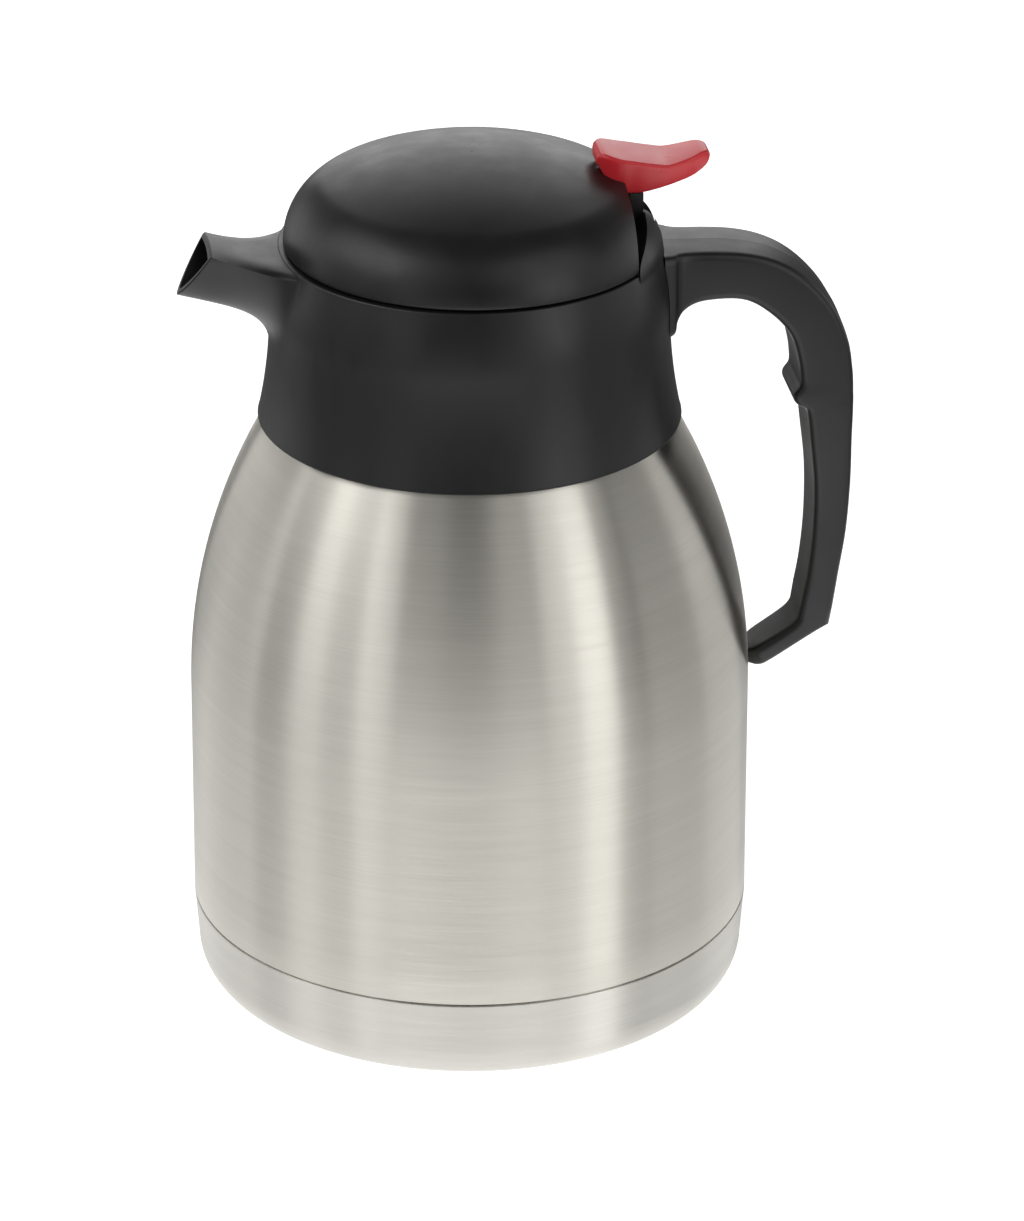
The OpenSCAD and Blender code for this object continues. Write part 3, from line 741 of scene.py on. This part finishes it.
@dataclass
class SteelBody:
    """The steel vessel: outer wall, base cup and what is inside."""

    shop: Workshop
    body_r: float = 73.8
    seam_z: float = 24.0
    seam_gap: float = 0.5
    spigot_h: float = 7.0
    shoulder_z: float = 85.0
    shoulder_r: float = 149.05
    shoulder_sweep: float = 31.6
    turn_r: float = 22.0
    neck_r: float = 38.0
    neck_fillet: float = 5.0
    neck_top_z: float = 184.0
    wall: float = 0.6
    fit: float = 0.1
    base_r: float = 72.8
    corner_r: float = 11.0
    foot_r: float = 54.0
    foot_w: float = 9.0
    foot_h: float = 1.4
    edge: float = 0.22

    def _side(self, inset: float, neck: float, fillet: float, steps: int) -> list[Point]:
        """The wall's line from shoulder to neck.

        Args:
            inset: how far inside the outer surface it runs.
            neck: the neck's radius on this line.
            fillet: the radius of the curve between shoulder and neck.
            steps: the spans of the long curve.

        Returns:
            The points from bottom to top.
        """
        c0 = (self.body_r - self.shoulder_r, self.shoulder_z)
        a0 = math.radians(self.shoulder_sweep)
        reach = self.shoulder_r - self.turn_r
        c1 = (c0[0] + reach * math.cos(a0), c0[1] + reach * math.sin(a0))
        span = self.turn_r - inset + fillet
        sweep = math.degrees(math.acos((neck + fillet - c1[0]) / span))
        c2 = (c1[0] + span * math.cos(math.radians(sweep)), c1[1] + span * math.sin(math.radians(sweep)))
        return (
            arc(c0, self.shoulder_r - inset, 0, self.shoulder_sweep, steps)
            + arc(c1, self.turn_r - inset, self.shoulder_sweep, sweep, steps // 3)[1:]
            + arc(c2, fillet, 180 + sweep, 180, 8)[1:]
            + [(neck, self.neck_top_z)]
        )

    def _cup(self, z: float) -> float:
        """The base cup's outer radius at a height."""
        return self.base_r + (self.body_r - self.base_r) * (z - self.corner_r) / (self.seam_z - self.corner_r)

    def _shell(self) -> bpy.types.Object:
        """Turns the outer wall, with its rolled lower edge and the spigot under it."""
        joggle = self.wall + self.fit
        low = self.seam_z - self.spigot_h
        top = self.seam_z + self.seam_gap
        outer = [
            (self._cup(low) - joggle, low),
            (self.body_r - joggle, self.seam_z - 0.3),
            (self.body_r - joggle, top - 0.15),
            (self.body_r - self.edge, top),
            (self.body_r - self.edge * 0.3, top + self.edge * 0.3),
            (self.body_r, top + self.edge),
        ]
        climb = 6
        rise = (self.shoulder_z - top) / climb
        outer += [(self.body_r, top + self.edge + rise * k) for k in range(1, climb)]
        outer += self._side(0, self.neck_r, self.neck_fillet, 42)
        inner = [
            (self._cup(low) - joggle - self.wall, low),
            (self.body_r - joggle - self.wall, self.seam_z),
            (self.body_r - self.wall, top + joggle),
        ]
        inner += self._side(self.wall, self.neck_r - self.wall, self.neck_fillet + self.wall, 12)
        return turned("shell_wall", outer + inner[::-1], 256)

    def _base(self) -> bpy.types.Object:
        """Turns the base cup, with its rounded corner and pressed ring."""
        ring = self.foot_r
        outer = [
            (0, 0),
            (ring - self.foot_w, 0),
            (ring - self.foot_w + self.foot_h, self.foot_h),
            (ring - self.foot_h, self.foot_h),
            (ring, 0),
        ]
        middle = (self.base_r - self.corner_r, self.corner_r)
        outer += arc(middle, self.corner_r, -90, 0, 20)
        outer += [(self._cup(z), z) for z in (14, 17.5, 21)]
        outer += [
            (self.body_r, self.seam_z - self.edge),
            (self.body_r - self.edge * 0.3, self.seam_z - self.edge * 0.3),
            (self.body_r - self.edge, self.seam_z),
        ]
        inner = [(0, self.wall)] + arc(middle, self.corner_r - self.wall, -90, 0, 8)
        inner += [(self.body_r - self.wall, self.seam_z)]
        return turned("base_cup", outer + inner[::-1], 256)

    def build(self) -> None:
        """Builds the visible walls and dresses the inner nodes."""
        shell = self._shell()
        smooth(shell, 25)
        self.shop.mount(shell, "jug", Finish.SHELL, "steel", ["outer_shell"])
        base = self._base()
        smooth(base, 25)
        self.shop.mount(base, "jug", Finish.CUP, "steel", ["base_cap"])
        for node in ("inner_flask", "vacuum_bottom", "neck_ring", "strut_bracket"):
            self.shop.dress(node, Finish.FLASK)
        self.shop.dress("getter", Finish.WIRE)
        self.shop.dress("neck_gasket", Finish.SEAL)


@dataclass
class Collar:
    """The collar moulding with funnel, spout and hinge housing, and the pin in it."""

    shop: Workshop
    low_z: float = 160.5
    low_r: float = 55.26
    skirt_wall: float = 1.9
    skirt_steps: tuple[Point, ...] = ((49.8, 166.4), (51.61, 163.4))
    waist_z: float = 190.0
    waist_r: float = 52.0
    taper_r: float = 66.0
    rim_z: float = 208.0
    chamber_r: float = 46.6
    throat_r: float = 34.2
    throat_z: float = 188.4
    seat_slope: float = 33.0
    inner_r: float = 49.8
    edge: float = 0.5
    mouth_x: float = -68.0
    mouth_slant: float = -0.62
    mouth_w: float = 9.0
    mouth_z: float = 210.9
    lip_z: float = 197.5
    root_w: float = 20.0
    root_low_z: float = 180.4
    root_top_z: float = 207.4
    roof_end_r: float = 48.4
    trough_w: float = 12.3
    neck_tube: tuple[Point, ...] = (
        (34.2, 181.0),
        (35.2, 181.0),
        (35.2, 186.4),
        (40.6, 186.4),
        (40.6, 178.0),
        (42.6, 178.0),
    )
    seat_wall: float = 2.64
    hinge: Point = (44.5, 208.5)
    front_x: float = 39.7
    front_h: float = 14.0
    housing_round: float = 12.0
    housing_low_z: float = 198.0
    housing_z: float = 206.0
    open_angle: float = 45.0
    slot_half: float = 4.8
    pocket_r: float = 4.0
    pocket_end: float = 11.8
    channel: tuple[tuple[float, ...], ...] = (
        (-69.6, -0.62, 7.7, 210.3, 0.4, 199.4),
        (-64.5, -0.496, 8.0, 207.7, 0.8, 197.8),
        (-60.0, -0.341, 8.6, 206.0, 1.1, 195.9),
        (-55.0, -0.155, 9.4, 204.9, 1.0, 193.2),
        (-49.0, 0.0, 10.2, 204.4, 0.8, 190.0),
        (-35.8, 0.0, 10.2, 204.4, 0.8, 189.4),
    )
    bore_r: float = 1.51

    def outside(self, z: float) -> float:
        """The collar's outer radius at a height."""
        if z < self.waist_z:
            share = (self.waist_z - z) / (self.waist_z - self.low_z)
            return self.waist_r + (self.low_r - self.waist_r) * share**2
        return self.waist_r - self.taper_r + math.sqrt(self.taper_r**2 - (z - self.waist_z) ** 2)

    def _seat(self, r: float) -> float:
        """The height of the stopper's sloping seat at a radius."""
        return self.throat_z + (r - self.throat_r) * math.tan(math.radians(self.seat_slope))

    def _ring(self) -> bpy.types.Object:
        """Turns the skirt, rim, funnel and neck tube."""
        first, last = self.low_z + self.edge, self.rim_z - self.edge
        top_r = self.outside(last)
        outer = [(self.low_r - self.skirt_wall, self.low_z)]
        outer += arc((self.low_r - self.edge, first), self.edge, -90, -8, 4)
        outer += [(self.outside(z), z) for z in (first + (last - first) * k / 40 for k in range(41))]
        outer += arc((top_r - self.edge, last), self.edge, 15, 90, 4)
        inner = [
            (self.chamber_r + 0.3, self.rim_z),
            (self.chamber_r, self.rim_z - 0.3),
            (self.chamber_r, self._seat(self.chamber_r)),
            (self.throat_r, self.throat_z),
            *self.neck_tube,
            (self.neck_tube[-1][0], self._seat(self.neck_tube[-1][0]) - self.seat_wall),
            (self.inner_r, self._seat(self.inner_r) - self.seat_wall),
            *self.skirt_steps,
        ]
        return turned("collar_moulding", outer + inner, 192)

    def _chamber(self) -> bpy.types.Object:
        """Turns the room inside the funnel, as a cutter."""
        top = self.rim_z + 6
        wall = [(self.chamber_r, self._seat(self.chamber_r)), (self.chamber_r, top)]
        return turned("chamber", [(0, self.throat_z), (self.throat_r, self.throat_z), *wall, (0, top)], 96)

    def _spout(self) -> bpy.types.Object:
        """Draws the spout from its slanted mouth to a root that runs out into the collar's side."""
        steps, roof_points, side_points = 26, 12, 30
        root_w, root_low, root_top = self.root_w, self.root_low_z, self.root_top_z
        middle = Vector((0, 0, 197.0))
        lines = []
        for index in range(roof_points + side_points - 1):
            if index <= roof_points:
                share = 1 - 2 * index / roof_points
                y, z = self.mouth_w * share, self.mouth_z + 0.5 * (1 - share**2)
                radius = self.roof_end_r + 1.1 * share**4
                wide = root_w * share
                high = root_top + 0.4 * (1 - share**2)
                end = Vector((-math.sqrt(radius**2 - wide**2), wide, high))
                weight, deep = abs(share) ** 5, 0.0
            else:
                a = math.pi * (index - roof_points) / side_points
                side = -math.copysign(abs(math.cos(a)), math.cos(a))
                deep = math.sin(a)
                y = self.mouth_w * math.copysign(abs(side) ** 1.45, side)
                z = self.mouth_z - (self.mouth_z - self.lip_z) * deep**1.45
                low = root_top - (root_top - root_low) * deep**1.1
                wide = root_w * math.copysign(abs(side) ** 1.1, side)
                end = Vector((-math.sqrt(self.outside(low) ** 2 - wide**2), wide, low))
                weight = 1.0
            mouth = Vector((self.mouth_x + self.mouth_slant * (self.mouth_z - z), y, z))
            slope = (self.outside(end.z + 0.1) - self.outside(end.z - 0.1)) / 0.2
            normal = Vector((end.x, end.y, -slope * math.hypot(end.x, end.y))).normalized()
            away = Vector((0, end.y, end.z - middle.z)).normalized()
            along = (away - normal * away.dot(normal)).normalized()
            along = (along * weight + Vector((1, 0, 0)) * (1 - weight)).normalized()
            lean = y / self.mouth_w * 0.14 * (1 - deep)
            inward = Vector((0.94, lean, -0.36 + 0.09 * deep + 0.1 * (1 - weight))).normalized()
            lines.append((mouth, mouth + inward * (12 + 6 * deep), end - along * (6 + 5 * deep), end))
        centre = sum((line[0] for line in lines), Vector()) / len(lines)
        rings = [[tuple(centre + (line[0] - centre) * 0.95) for line in lines]]
        for step in range(steps + 1):
            t = (step / steps) ** 0.9
            weights = ((1 - t) ** 3, 3 * t * (1 - t) ** 2, 3 * t**2 * (1 - t), t**3)
            ring = [sum((p * w for p, w in zip(line, weights)), Vector()) for line in lines]
            if step == 0:
                ring = [p + Vector((0.35, 0, -0.1)) for p in ring]
            rings.append([tuple(p) for p in ring])
        rings.append([(line[3].x * 0.976, line[3].y * 0.976, line[3].z) for line in lines])
        piece = lofted("spout", rings)
        combine(piece, self._chamber(), Join.CUT)
        return piece

    def _section(
        self, x: float, slant: float, w: float, roof: float, crown: float, keel: float
    ) -> list[Place]:
        """A flat or crowned roof over a rounded keel, for the channel and the trough.

        Args:
            x: where the roof stands.
            slant: how much further out it leans per millimetre of depth.
            w: half the roof's width.
            roof: the roof's height at its edges.
            crown: how much higher its middle is.
            keel: the lowest height.

        Returns:
            The ring's points.
        """
        points = [(w * (1 - k / 4), crown * (1 - (1 - k / 4) ** 2)) for k in range(9)]
        for k in range(1, 24):
            a = math.pi * k / 24
            y = -w * math.copysign(abs(math.cos(a)) ** 1.5, math.cos(a))
            points.append((y, -(roof - keel) * math.sin(a) ** 1.5))
        return [(x - slant * drop, y, roof + drop) for y, drop in points]

    def _channel(self) -> bpy.types.Object:
        """Draws the room that the drink runs through."""
        return lofted("channel", [self._section(*row) for row in between(self.channel, 4)])

    def _trough(self) -> bpy.types.Object:
        """Draws the floor under the channel's root."""
        rows = [
            (-50.8, 0, self.trough_w, self._seat(46.6) - 0.6, 0.4, 187.4),
            (-40.2, 0, self.trough_w, self._seat(40.6) - 0.6, 0.4, 187.2),
        ]
        return lofted("trough", [self._section(*row) for row in rows])

    def _housing(self) -> bpy.types.Object:
        """Turns the hinge housing and cuts its sloping front."""
        top_r = self.outside(self.housing_z)
        low = self.housing_low_z
        outline = [(20, low)] + [(self.outside(low + k), low + k) for k in range(0, 8)]
        outline += arc((top_r - self.housing_round, self.housing_z), self.housing_round, 0, 90, 24)
        outline += [(20, self.housing_z + self.housing_round)]
        piece = turned("housing", outline, 192)
        x, z = self.hinge
        reach = x - self.front_x
        tilt = math.radians(self.open_angle)
        front = [(self.front_x, low)] + arc(self.hinge, reach, 180, 180 - self.open_angle, 12)
        up, along = math.sin(tilt), math.cos(tilt)
        top = (x - reach * along + self.front_h * up, z + reach * up + self.front_h * along)
        front += [top, (53, z), (53, low)]
        combine(piece, prism(front, -52, 52), Join.COMMON)
        return piece

    def _hinge_cuts(self) -> list[bpy.types.Object]:
        """The slot, pocket, slit and bore in the housing, as cutters."""
        x, z = self.hinge
        start_x = self.front_x - 1
        slot, overlap = self.slot_half, self.slot_half - 0.1
        return [
            block((start_x, -slot, z - slot), (x, slot, z + 15)),
            rod(x, z, -slot, slot, slot),
            block((x - 1, -slot, 210), (x + 19, slot, 222)),
            rod(x, z, overlap, self.pocket_end, self.pocket_r),
            block((start_x, overlap, z - self.pocket_r), (x, self.pocket_end, z)),
            rod(x, z, overlap, 6.4, 5.8),
            rod(x, z, -17, 52, self.bore_r),
        ]

    def build(self) -> None:
        """Builds the collar and dresses the pin."""
        piece = self._ring()
        for part in (self._spout(), self._trough(), self._housing()):
            combine(piece, part, Join.ADD)
        for cutter in [self._channel()] + self._hinge_cuts():
            combine(piece, cutter, Join.CUT)
        outward(piece)
        smooth(piece, 34)
        self.shop.mount(piece, "jug", Finish.COLLAR, "black", ["collar"])
        self.shop.dress("hinge_pin", Finish.WIRE)


@dataclass
class Handle:
    """The loop handle with its finger ridge, strut and screws."""

    shop: Workshop
    collar: Collar
    body_r: float = 73.9
    edge: float = 2.2
    crown: float = 0.35
    bow: tuple[tuple[float, ...], ...] = (
        (49, 205.9, 49, 182.4, 27),
        (51.8, 205.8, 52, 183.6, 25.2),
        (52.9, 205.8, 52.8, 186.4, 23.2),
        (54.8, 205.7, 54.6, 189.2, 21.7),
        (58, 205.6, 58, 191.1, 21),
        (63, 205.4, 62.5, 191.8, 21),
        (70, 204.7, 68.5, 191.7, 21),
        (77, 202.9, 73, 190.3, 21),
        (84, 199.3, 77.4, 187.2, 21),
        (90.4, 193.6, 81, 183.6, 21),
        (95.5, 186.5, 83.6, 179.4, 20.8),
        (98.8, 177.9, 85.2, 173.6, 20.5),
        (100, 170.5, 85.8, 169.5, 20.3),
        (100.3, 167, 85.8, 166.2, 20.2),
        (100.4, 164.2, 84.2, 163.6, 20.1),
        (100.5, 162, 84.8, 161.2, 20),
        (100.5, 160, 87.4, 159.5, 20),
        (100.5, 157, 88.2, 156.6, 19.8),
        (100.4, 150, 89, 149.8, 19.2),
        (100.4, 137.2, 90.3, 137.3, 18),
        (99.6, 123.2, 90.3, 123.5, 17),
        (97.9, 111, 89.3, 111.8, 16.4),
        (96.5, 100.9, 87.9, 103.5, 16),
    )
    strut: tuple[tuple[float, ...], ...] = (
        (95.7, 96, 87.1, 98.5, 15.4),
        (91.4, 93.4, 85, 96, 15),
        (80.3, 86, 77, 90.8, 14),
        (77, 84.3, 75.2, 89.6, 12.5),
        (74.6, 84.7, 73.6, 88.8, 11),
        (73.2, 85.3, 72.2, 88.2, 9.6),
    )

    def _ring(self, row: Sequence[float]) -> list[Place]:
        """The rounded section at a station.

        Args:
            row: outer x and z, inner x and z, and the width.

        Returns:
            The section's points.
        """
        out, inner, width = Vector((row[0], row[1])), Vector((row[2], row[3])), row[4]
        depth = (out - inner).length
        across = (out - inner) / depth
        half = width / 2
        edge = min(self.edge, depth / 2 - 0.2, width / 5)
        shoulder = depth - self.crown
        corners = [(0, half), (shoulder, half), (depth, 0), (shoulder, -half), (0, -half)]
        shape = rounded(corners, (edge, edge, 0.4, edge, edge), 6)
        places = []
        for along, y in shape:
            spot = inner + across * along
            places.append((spot.x, y, spot.y))
        return places

    def build(self) -> None:
        """Builds the handle and dresses its screws."""
        rows = between(self.bow, 5) + between(self.strut, 5)
        piece = lofted("loop_handle", [self._ring(row) for row in rows])
        wall = [(self.collar.outside(z) + 0.1, z) for z in range(168, 211, 2)]
        combine(piece, turned("collar_wall", [(30, 168)] + wall + [(30, 210)], 192), Join.CUT)
        steel = [(30, 70), (self.body_r, 70), (self.body_r, 100), (30, 100)]
        combine(piece, turned("body_wall", steel, 256), Join.CUT)
        smooth(piece, 34)
        self.shop.mount(piece, "jug", Finish.HANDLE, "black", ["handle"])
        self.shop.dress("handle_screws", Finish.WIRE)


@dataclass
class Lid:
    """The flip lid: dome, floor, stopper and spring."""

    shop: Workshop
    middle_x: float = 0.6
    edge_z: float = 208.4
    top_z: float = 232.7
    dome_r: float = 48.8
    shoulder_r: float = 18.2
    wall: float = 2.2
    back_x: float = 39.4
    edge: float = 0.5
    notch: tuple[Place, Place] = ((36.2, -4.8, 207), (41, 6.8, 220.6))

    def solid(self, inset: float, edge: float) -> bpy.types.Object:
        """Turns the dome's full solid.

        Args:
            inset: how far inside the outer surface it runs.
            edge: the radius of its rounded lower edge.

        Returns:
            The solid, with its straight back.
        """
        reach = self.dome_r - self.shoulder_r
        rise = self.top_z - self.edge_z
        crown_r = (rise**2 + reach**2 - self.shoulder_r**2) / (2 * (rise - self.shoulder_r))
        crown_z = self.top_z - crown_r
        sweep = math.degrees(math.atan2(self.edge_z - crown_z, reach))
        low = self.edge_z - (1 if inset > 0 else 0)
        steps = 4 if edge > 0.1 else 1
        outline = [(0, low)] + arc((self.dome_r - inset - edge, low + edge), edge, -90, 0, steps)
        lift = math.degrees(math.asin(edge / (self.shoulder_r - inset)))
        outline += arc((reach, self.edge_z), self.shoulder_r - inset, lift, sweep, 30)
        outline += arc((0, crown_z), crown_r - inset, sweep, 89.9, 30)[1:]
        piece = turned("dome_shell", outline, 192, self.middle_x)
        combine(piece, block((self.back_x - inset, -60, 200), (60, 60, 240)), Join.CUT)
        return piece

    def build(self) -> None:
        """Builds the dome and dresses what is under it."""
        piece = self.solid(0, self.edge)
        combine(piece, self.solid(self.wall, 0.05), Join.CUT)
        combine(piece, block(*self.notch), Join.CUT)
        outward(piece)
        smooth(piece, 34)
        self.shop.mount(piece, "lid", Finish.DOME, "black_lid", ["lid_dome"])
        self.shop.dress("lid_pan", Finish.DOME)
        self.shop.dress("stopper", Finish.COLLAR)
        self.shop.dress("stopper_seal", Finish.SEAL)
        self.shop.dress("stopper_foam", Finish.FOAM)
        for node in ("lid_screws", "stopper_screw", "torsion_spring", "lever_screw"):
            self.shop.dress(node, Finish.WIRE)


@dataclass
class ThumbLever:
    """The red lever on the back of the lid."""

    shop: Workshop
    lid: Lid
    top: float = 232.3
    seat: float = 220.6
    half: float = 8.3
    end_x: float = 62.2
    edge: float = 1.3

    def _rows(self) -> list[tuple[float, ...]]:
        """The stations: x, top and lower height, half width above and below."""
        t, s, w, x = self.top, self.seat, self.half, self.end_x
        return [
            (32.4, t - 1.8, t - 3.2, w - 4.2, w - 4.8),
            (33, t - 0.5, t - 4, w - 2.8, w - 3.8),
            (34.4, t, s + 5.4, w - 1.5, w - 2.5),
            (36.8, t - 0.6, s + 2.8, w - 0.4, w - 1.8),
            (38.8, t - 1.2, s + 0.6, w, w - 2.8),
            (41.6, t - 1.7, s, w, w - 3.6),
            (44.5, t - 2.3, s, w, w - 3.8),
            (48, t - 2.9, s + 0.8, w - 0.1, w - 3.6),
            (50.6, t - 3.3, s + 1.6, w - 0.2, w - 3.4),
            (53.2, t - 2.9, s + 2.4, w - 0.8, w - 3.5),
            (57, t - 1.9, s + 3.6, w - 1.7, w - 4.1),
            (x - 2.6, t - 1.1, s + 4.9, w - 3, w - 4.9),
            (x - 0.9, t - 1.2, s + 6.2, w - 4.2, w - 5.5),
            (x - 0.2, t - 2, s + 7.6, w - 5.2, w - 6),
            (x, t - 2.9, s + 8.3, w - 6, w - 6.5),
        ]

    def _ring(self, row: Sequence[float]) -> list[Place]:
        """The rounded section at a station."""
        x, top, low, wide, narrow = row
        edge = min(self.edge, (top - low) * 0.3)
        corners = [(-narrow, low), (narrow, low), (wide, top), (-wide, top)]
        return [(x, y, z) for y, z in rounded(corners, (edge * 0.8, edge * 0.8, edge, edge), 5)]

    def build(self) -> None:
        """Builds the lever."""
        piece = lofted("thumb_press", [self._ring(row) for row in between(self._rows(), 5)])
        combine(piece, self.lid.solid(0, 0.5), Join.CUT)
        smooth(piece, 40)
        self.shop.mount(piece, "lid", Finish.LEVER, "red", ["thumb_lever"])


# Studio


class Panel(Enum):
    """Soft lights: bearing and lift in degrees, distance, width, height in metres, radiance."""

    FRONT_LEFT = (-37.5, 5.0, 1.5, 0.395, 0.9, 1.2)
    LEFT = (-67.5, 5.0, 1.5, 0.395, 0.9, 0.72)
    BACK_LEFT = (-120.0, 5.0, 1.5, 1.6, 0.9, 0.95)
    FRONT_RIGHT = (37.5, 5.0, 1.5, 0.395, 0.9, 1.15)
    RIGHT_STRIP = (52.5, 5.0, 1.5, 0.395, 0.9, 2.55)
    RIGHT = (90.0, 5.0, 1.5, 0.8, 0.9, 0.58)
    BACK_RIGHT = (120.0, 5.0, 1.5, 0.8, 0.9, 1.04)
    BACK = (180.0, 12.0, 1.9, 1.2, 1.0, 1.5)
    HIGH_FRONT_LEFT = (-30.0, 38.0, 1.5, 0.8, 0.9, 0.42)
    HIGH_FRONT_RIGHT = (30.0, 38.0, 1.5, 0.8, 0.9, 0.77)
    HIGH_LEFT = (-60.0, 38.0, 1.5, 0.8, 0.9, 2.26)
    HIGH_RIGHT = (60.0, 38.0, 1.5, 0.8, 0.9, 1.19)
    HIGH_SIDE = (-90.0, 38.0, 1.5, 0.8, 0.9, 1.89)
    HIGH_BACK = (180.0, 38.0, 1.5, 1.2, 0.9, 1.1)
    UNDER = (0.0, -90.0, 0.25, 1.0, 1.0, 1.25)
    LOW_FRONT = (0.0, -30.0, 0.8, 0.8, 0.5, 0.98)


@dataclass
class Studio:
    """Camera, floor and light, at the photograph's viewing angle."""

    shop: Workshop
    azimuth: float = 8.0
    elevation: float = 24.3
    distance: float = 1.823
    target: tuple[float, float, float] = (0.0, 0.0, 0.120)
    frame_width: int = 1024
    frame_height: int = 1221
    focal_pixels: float = 6927.0
    target_pixel: Point = (469.6, 552.1)
    sensor: float = 36.0
    floor_size: float = 14.0
    world: float = 0.13

    def _direction(self, bearing: float, lift: float) -> Vector:
        """A unit vector from the target.

        Args:
            bearing: degrees from the camera's side, positive to the right.
            lift: degrees above the level.

        Returns:
            The vector.
        """
        around = math.radians(-90.0 - self.azimuth + bearing)
        up = math.radians(lift)
        return Vector((math.cos(around) * math.cos(up), math.sin(around) * math.cos(up), math.sin(up)))

    def _camera(self) -> None:
        """Places the camera."""
        data = bpy.data.cameras.new("photo_camera")
        data.sensor_fit = "VERTICAL"
        data.sensor_height = self.sensor
        data.lens = self.focal_pixels / self.frame_height * self.sensor
        data.shift_x = (self.frame_width / 2 - self.target_pixel[0]) / self.frame_height
        data.shift_y = -(self.frame_height / 2 - self.target_pixel[1]) / self.frame_height
        data.clip_end = 50.0
        camera = bpy.data.objects.new("photo_camera", data)
        bpy.context.collection.objects.link(camera)
        middle = Vector(self.target)
        camera.location = middle + self._direction(0.0, self.elevation) * self.distance
        camera.rotation_euler = (middle - camera.location).to_track_quat("-Z", "Y").to_euler()
        bpy.context.scene.camera = camera

    def _floor(self) -> None:
        """Lays the floor."""
        floor = start("floor", bpy.ops.mesh.primitive_plane_add, size=self.floor_size)
        self.shop.paint(floor, Finish.FLOOR)
        floor.visible_glossy = False
        floor.visible_diffuse = False
        floor.visible_shadow = False

    def _lights(self) -> None:
        """Hangs the soft lights and sets the room's own light."""
        middle = Vector(self.target)
        for panel in Panel:
            bearing, lift, away, width, height, radiance = panel.value
            data = bpy.data.lights.new(panel.name.lower(), "AREA")
            data.shape = "RECTANGLE"
            data.size, data.size_y = width, height
            data.energy = radiance * math.pi * width * height
            light = bpy.data.objects.new(panel.name.lower(), data)
            bpy.context.collection.objects.link(light)
            light.location = middle + self._direction(bearing, lift) * away
            light.rotation_euler = (middle - light.location).to_track_quat("-Z", "Y").to_euler()
        world = bpy.data.worlds.new("room")
        world.use_nodes = True
        world.node_tree.nodes["Background"].inputs["Color"].default_value = (1, 1, 1, 1)
        world.node_tree.nodes["Background"].inputs["Strength"].default_value = self.world
        bpy.context.scene.world = world
        bpy.context.scene.view_settings.view_transform = "Standard"

    def build(self) -> None:
        """Sets the studio up."""
        self._camera()
        self._floor()
        self._lights()
        LOG.info("studio ready")


def main() -> None:
    """Builds the sub-assemblies in order."""
    logging.basicConfig(level=logging.INFO, format="%(name)s: %(message)s")
    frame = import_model()
    shop = Workshop(frame)
    Studio(shop).build()
    collar, lid = Collar(shop), Lid(shop)
    for assembly in (SteelBody(shop), collar, Handle(shop, collar), lid, ThumbLever(shop, lid)):
        assembly.build()


if __name__ == "__main__":
    main()
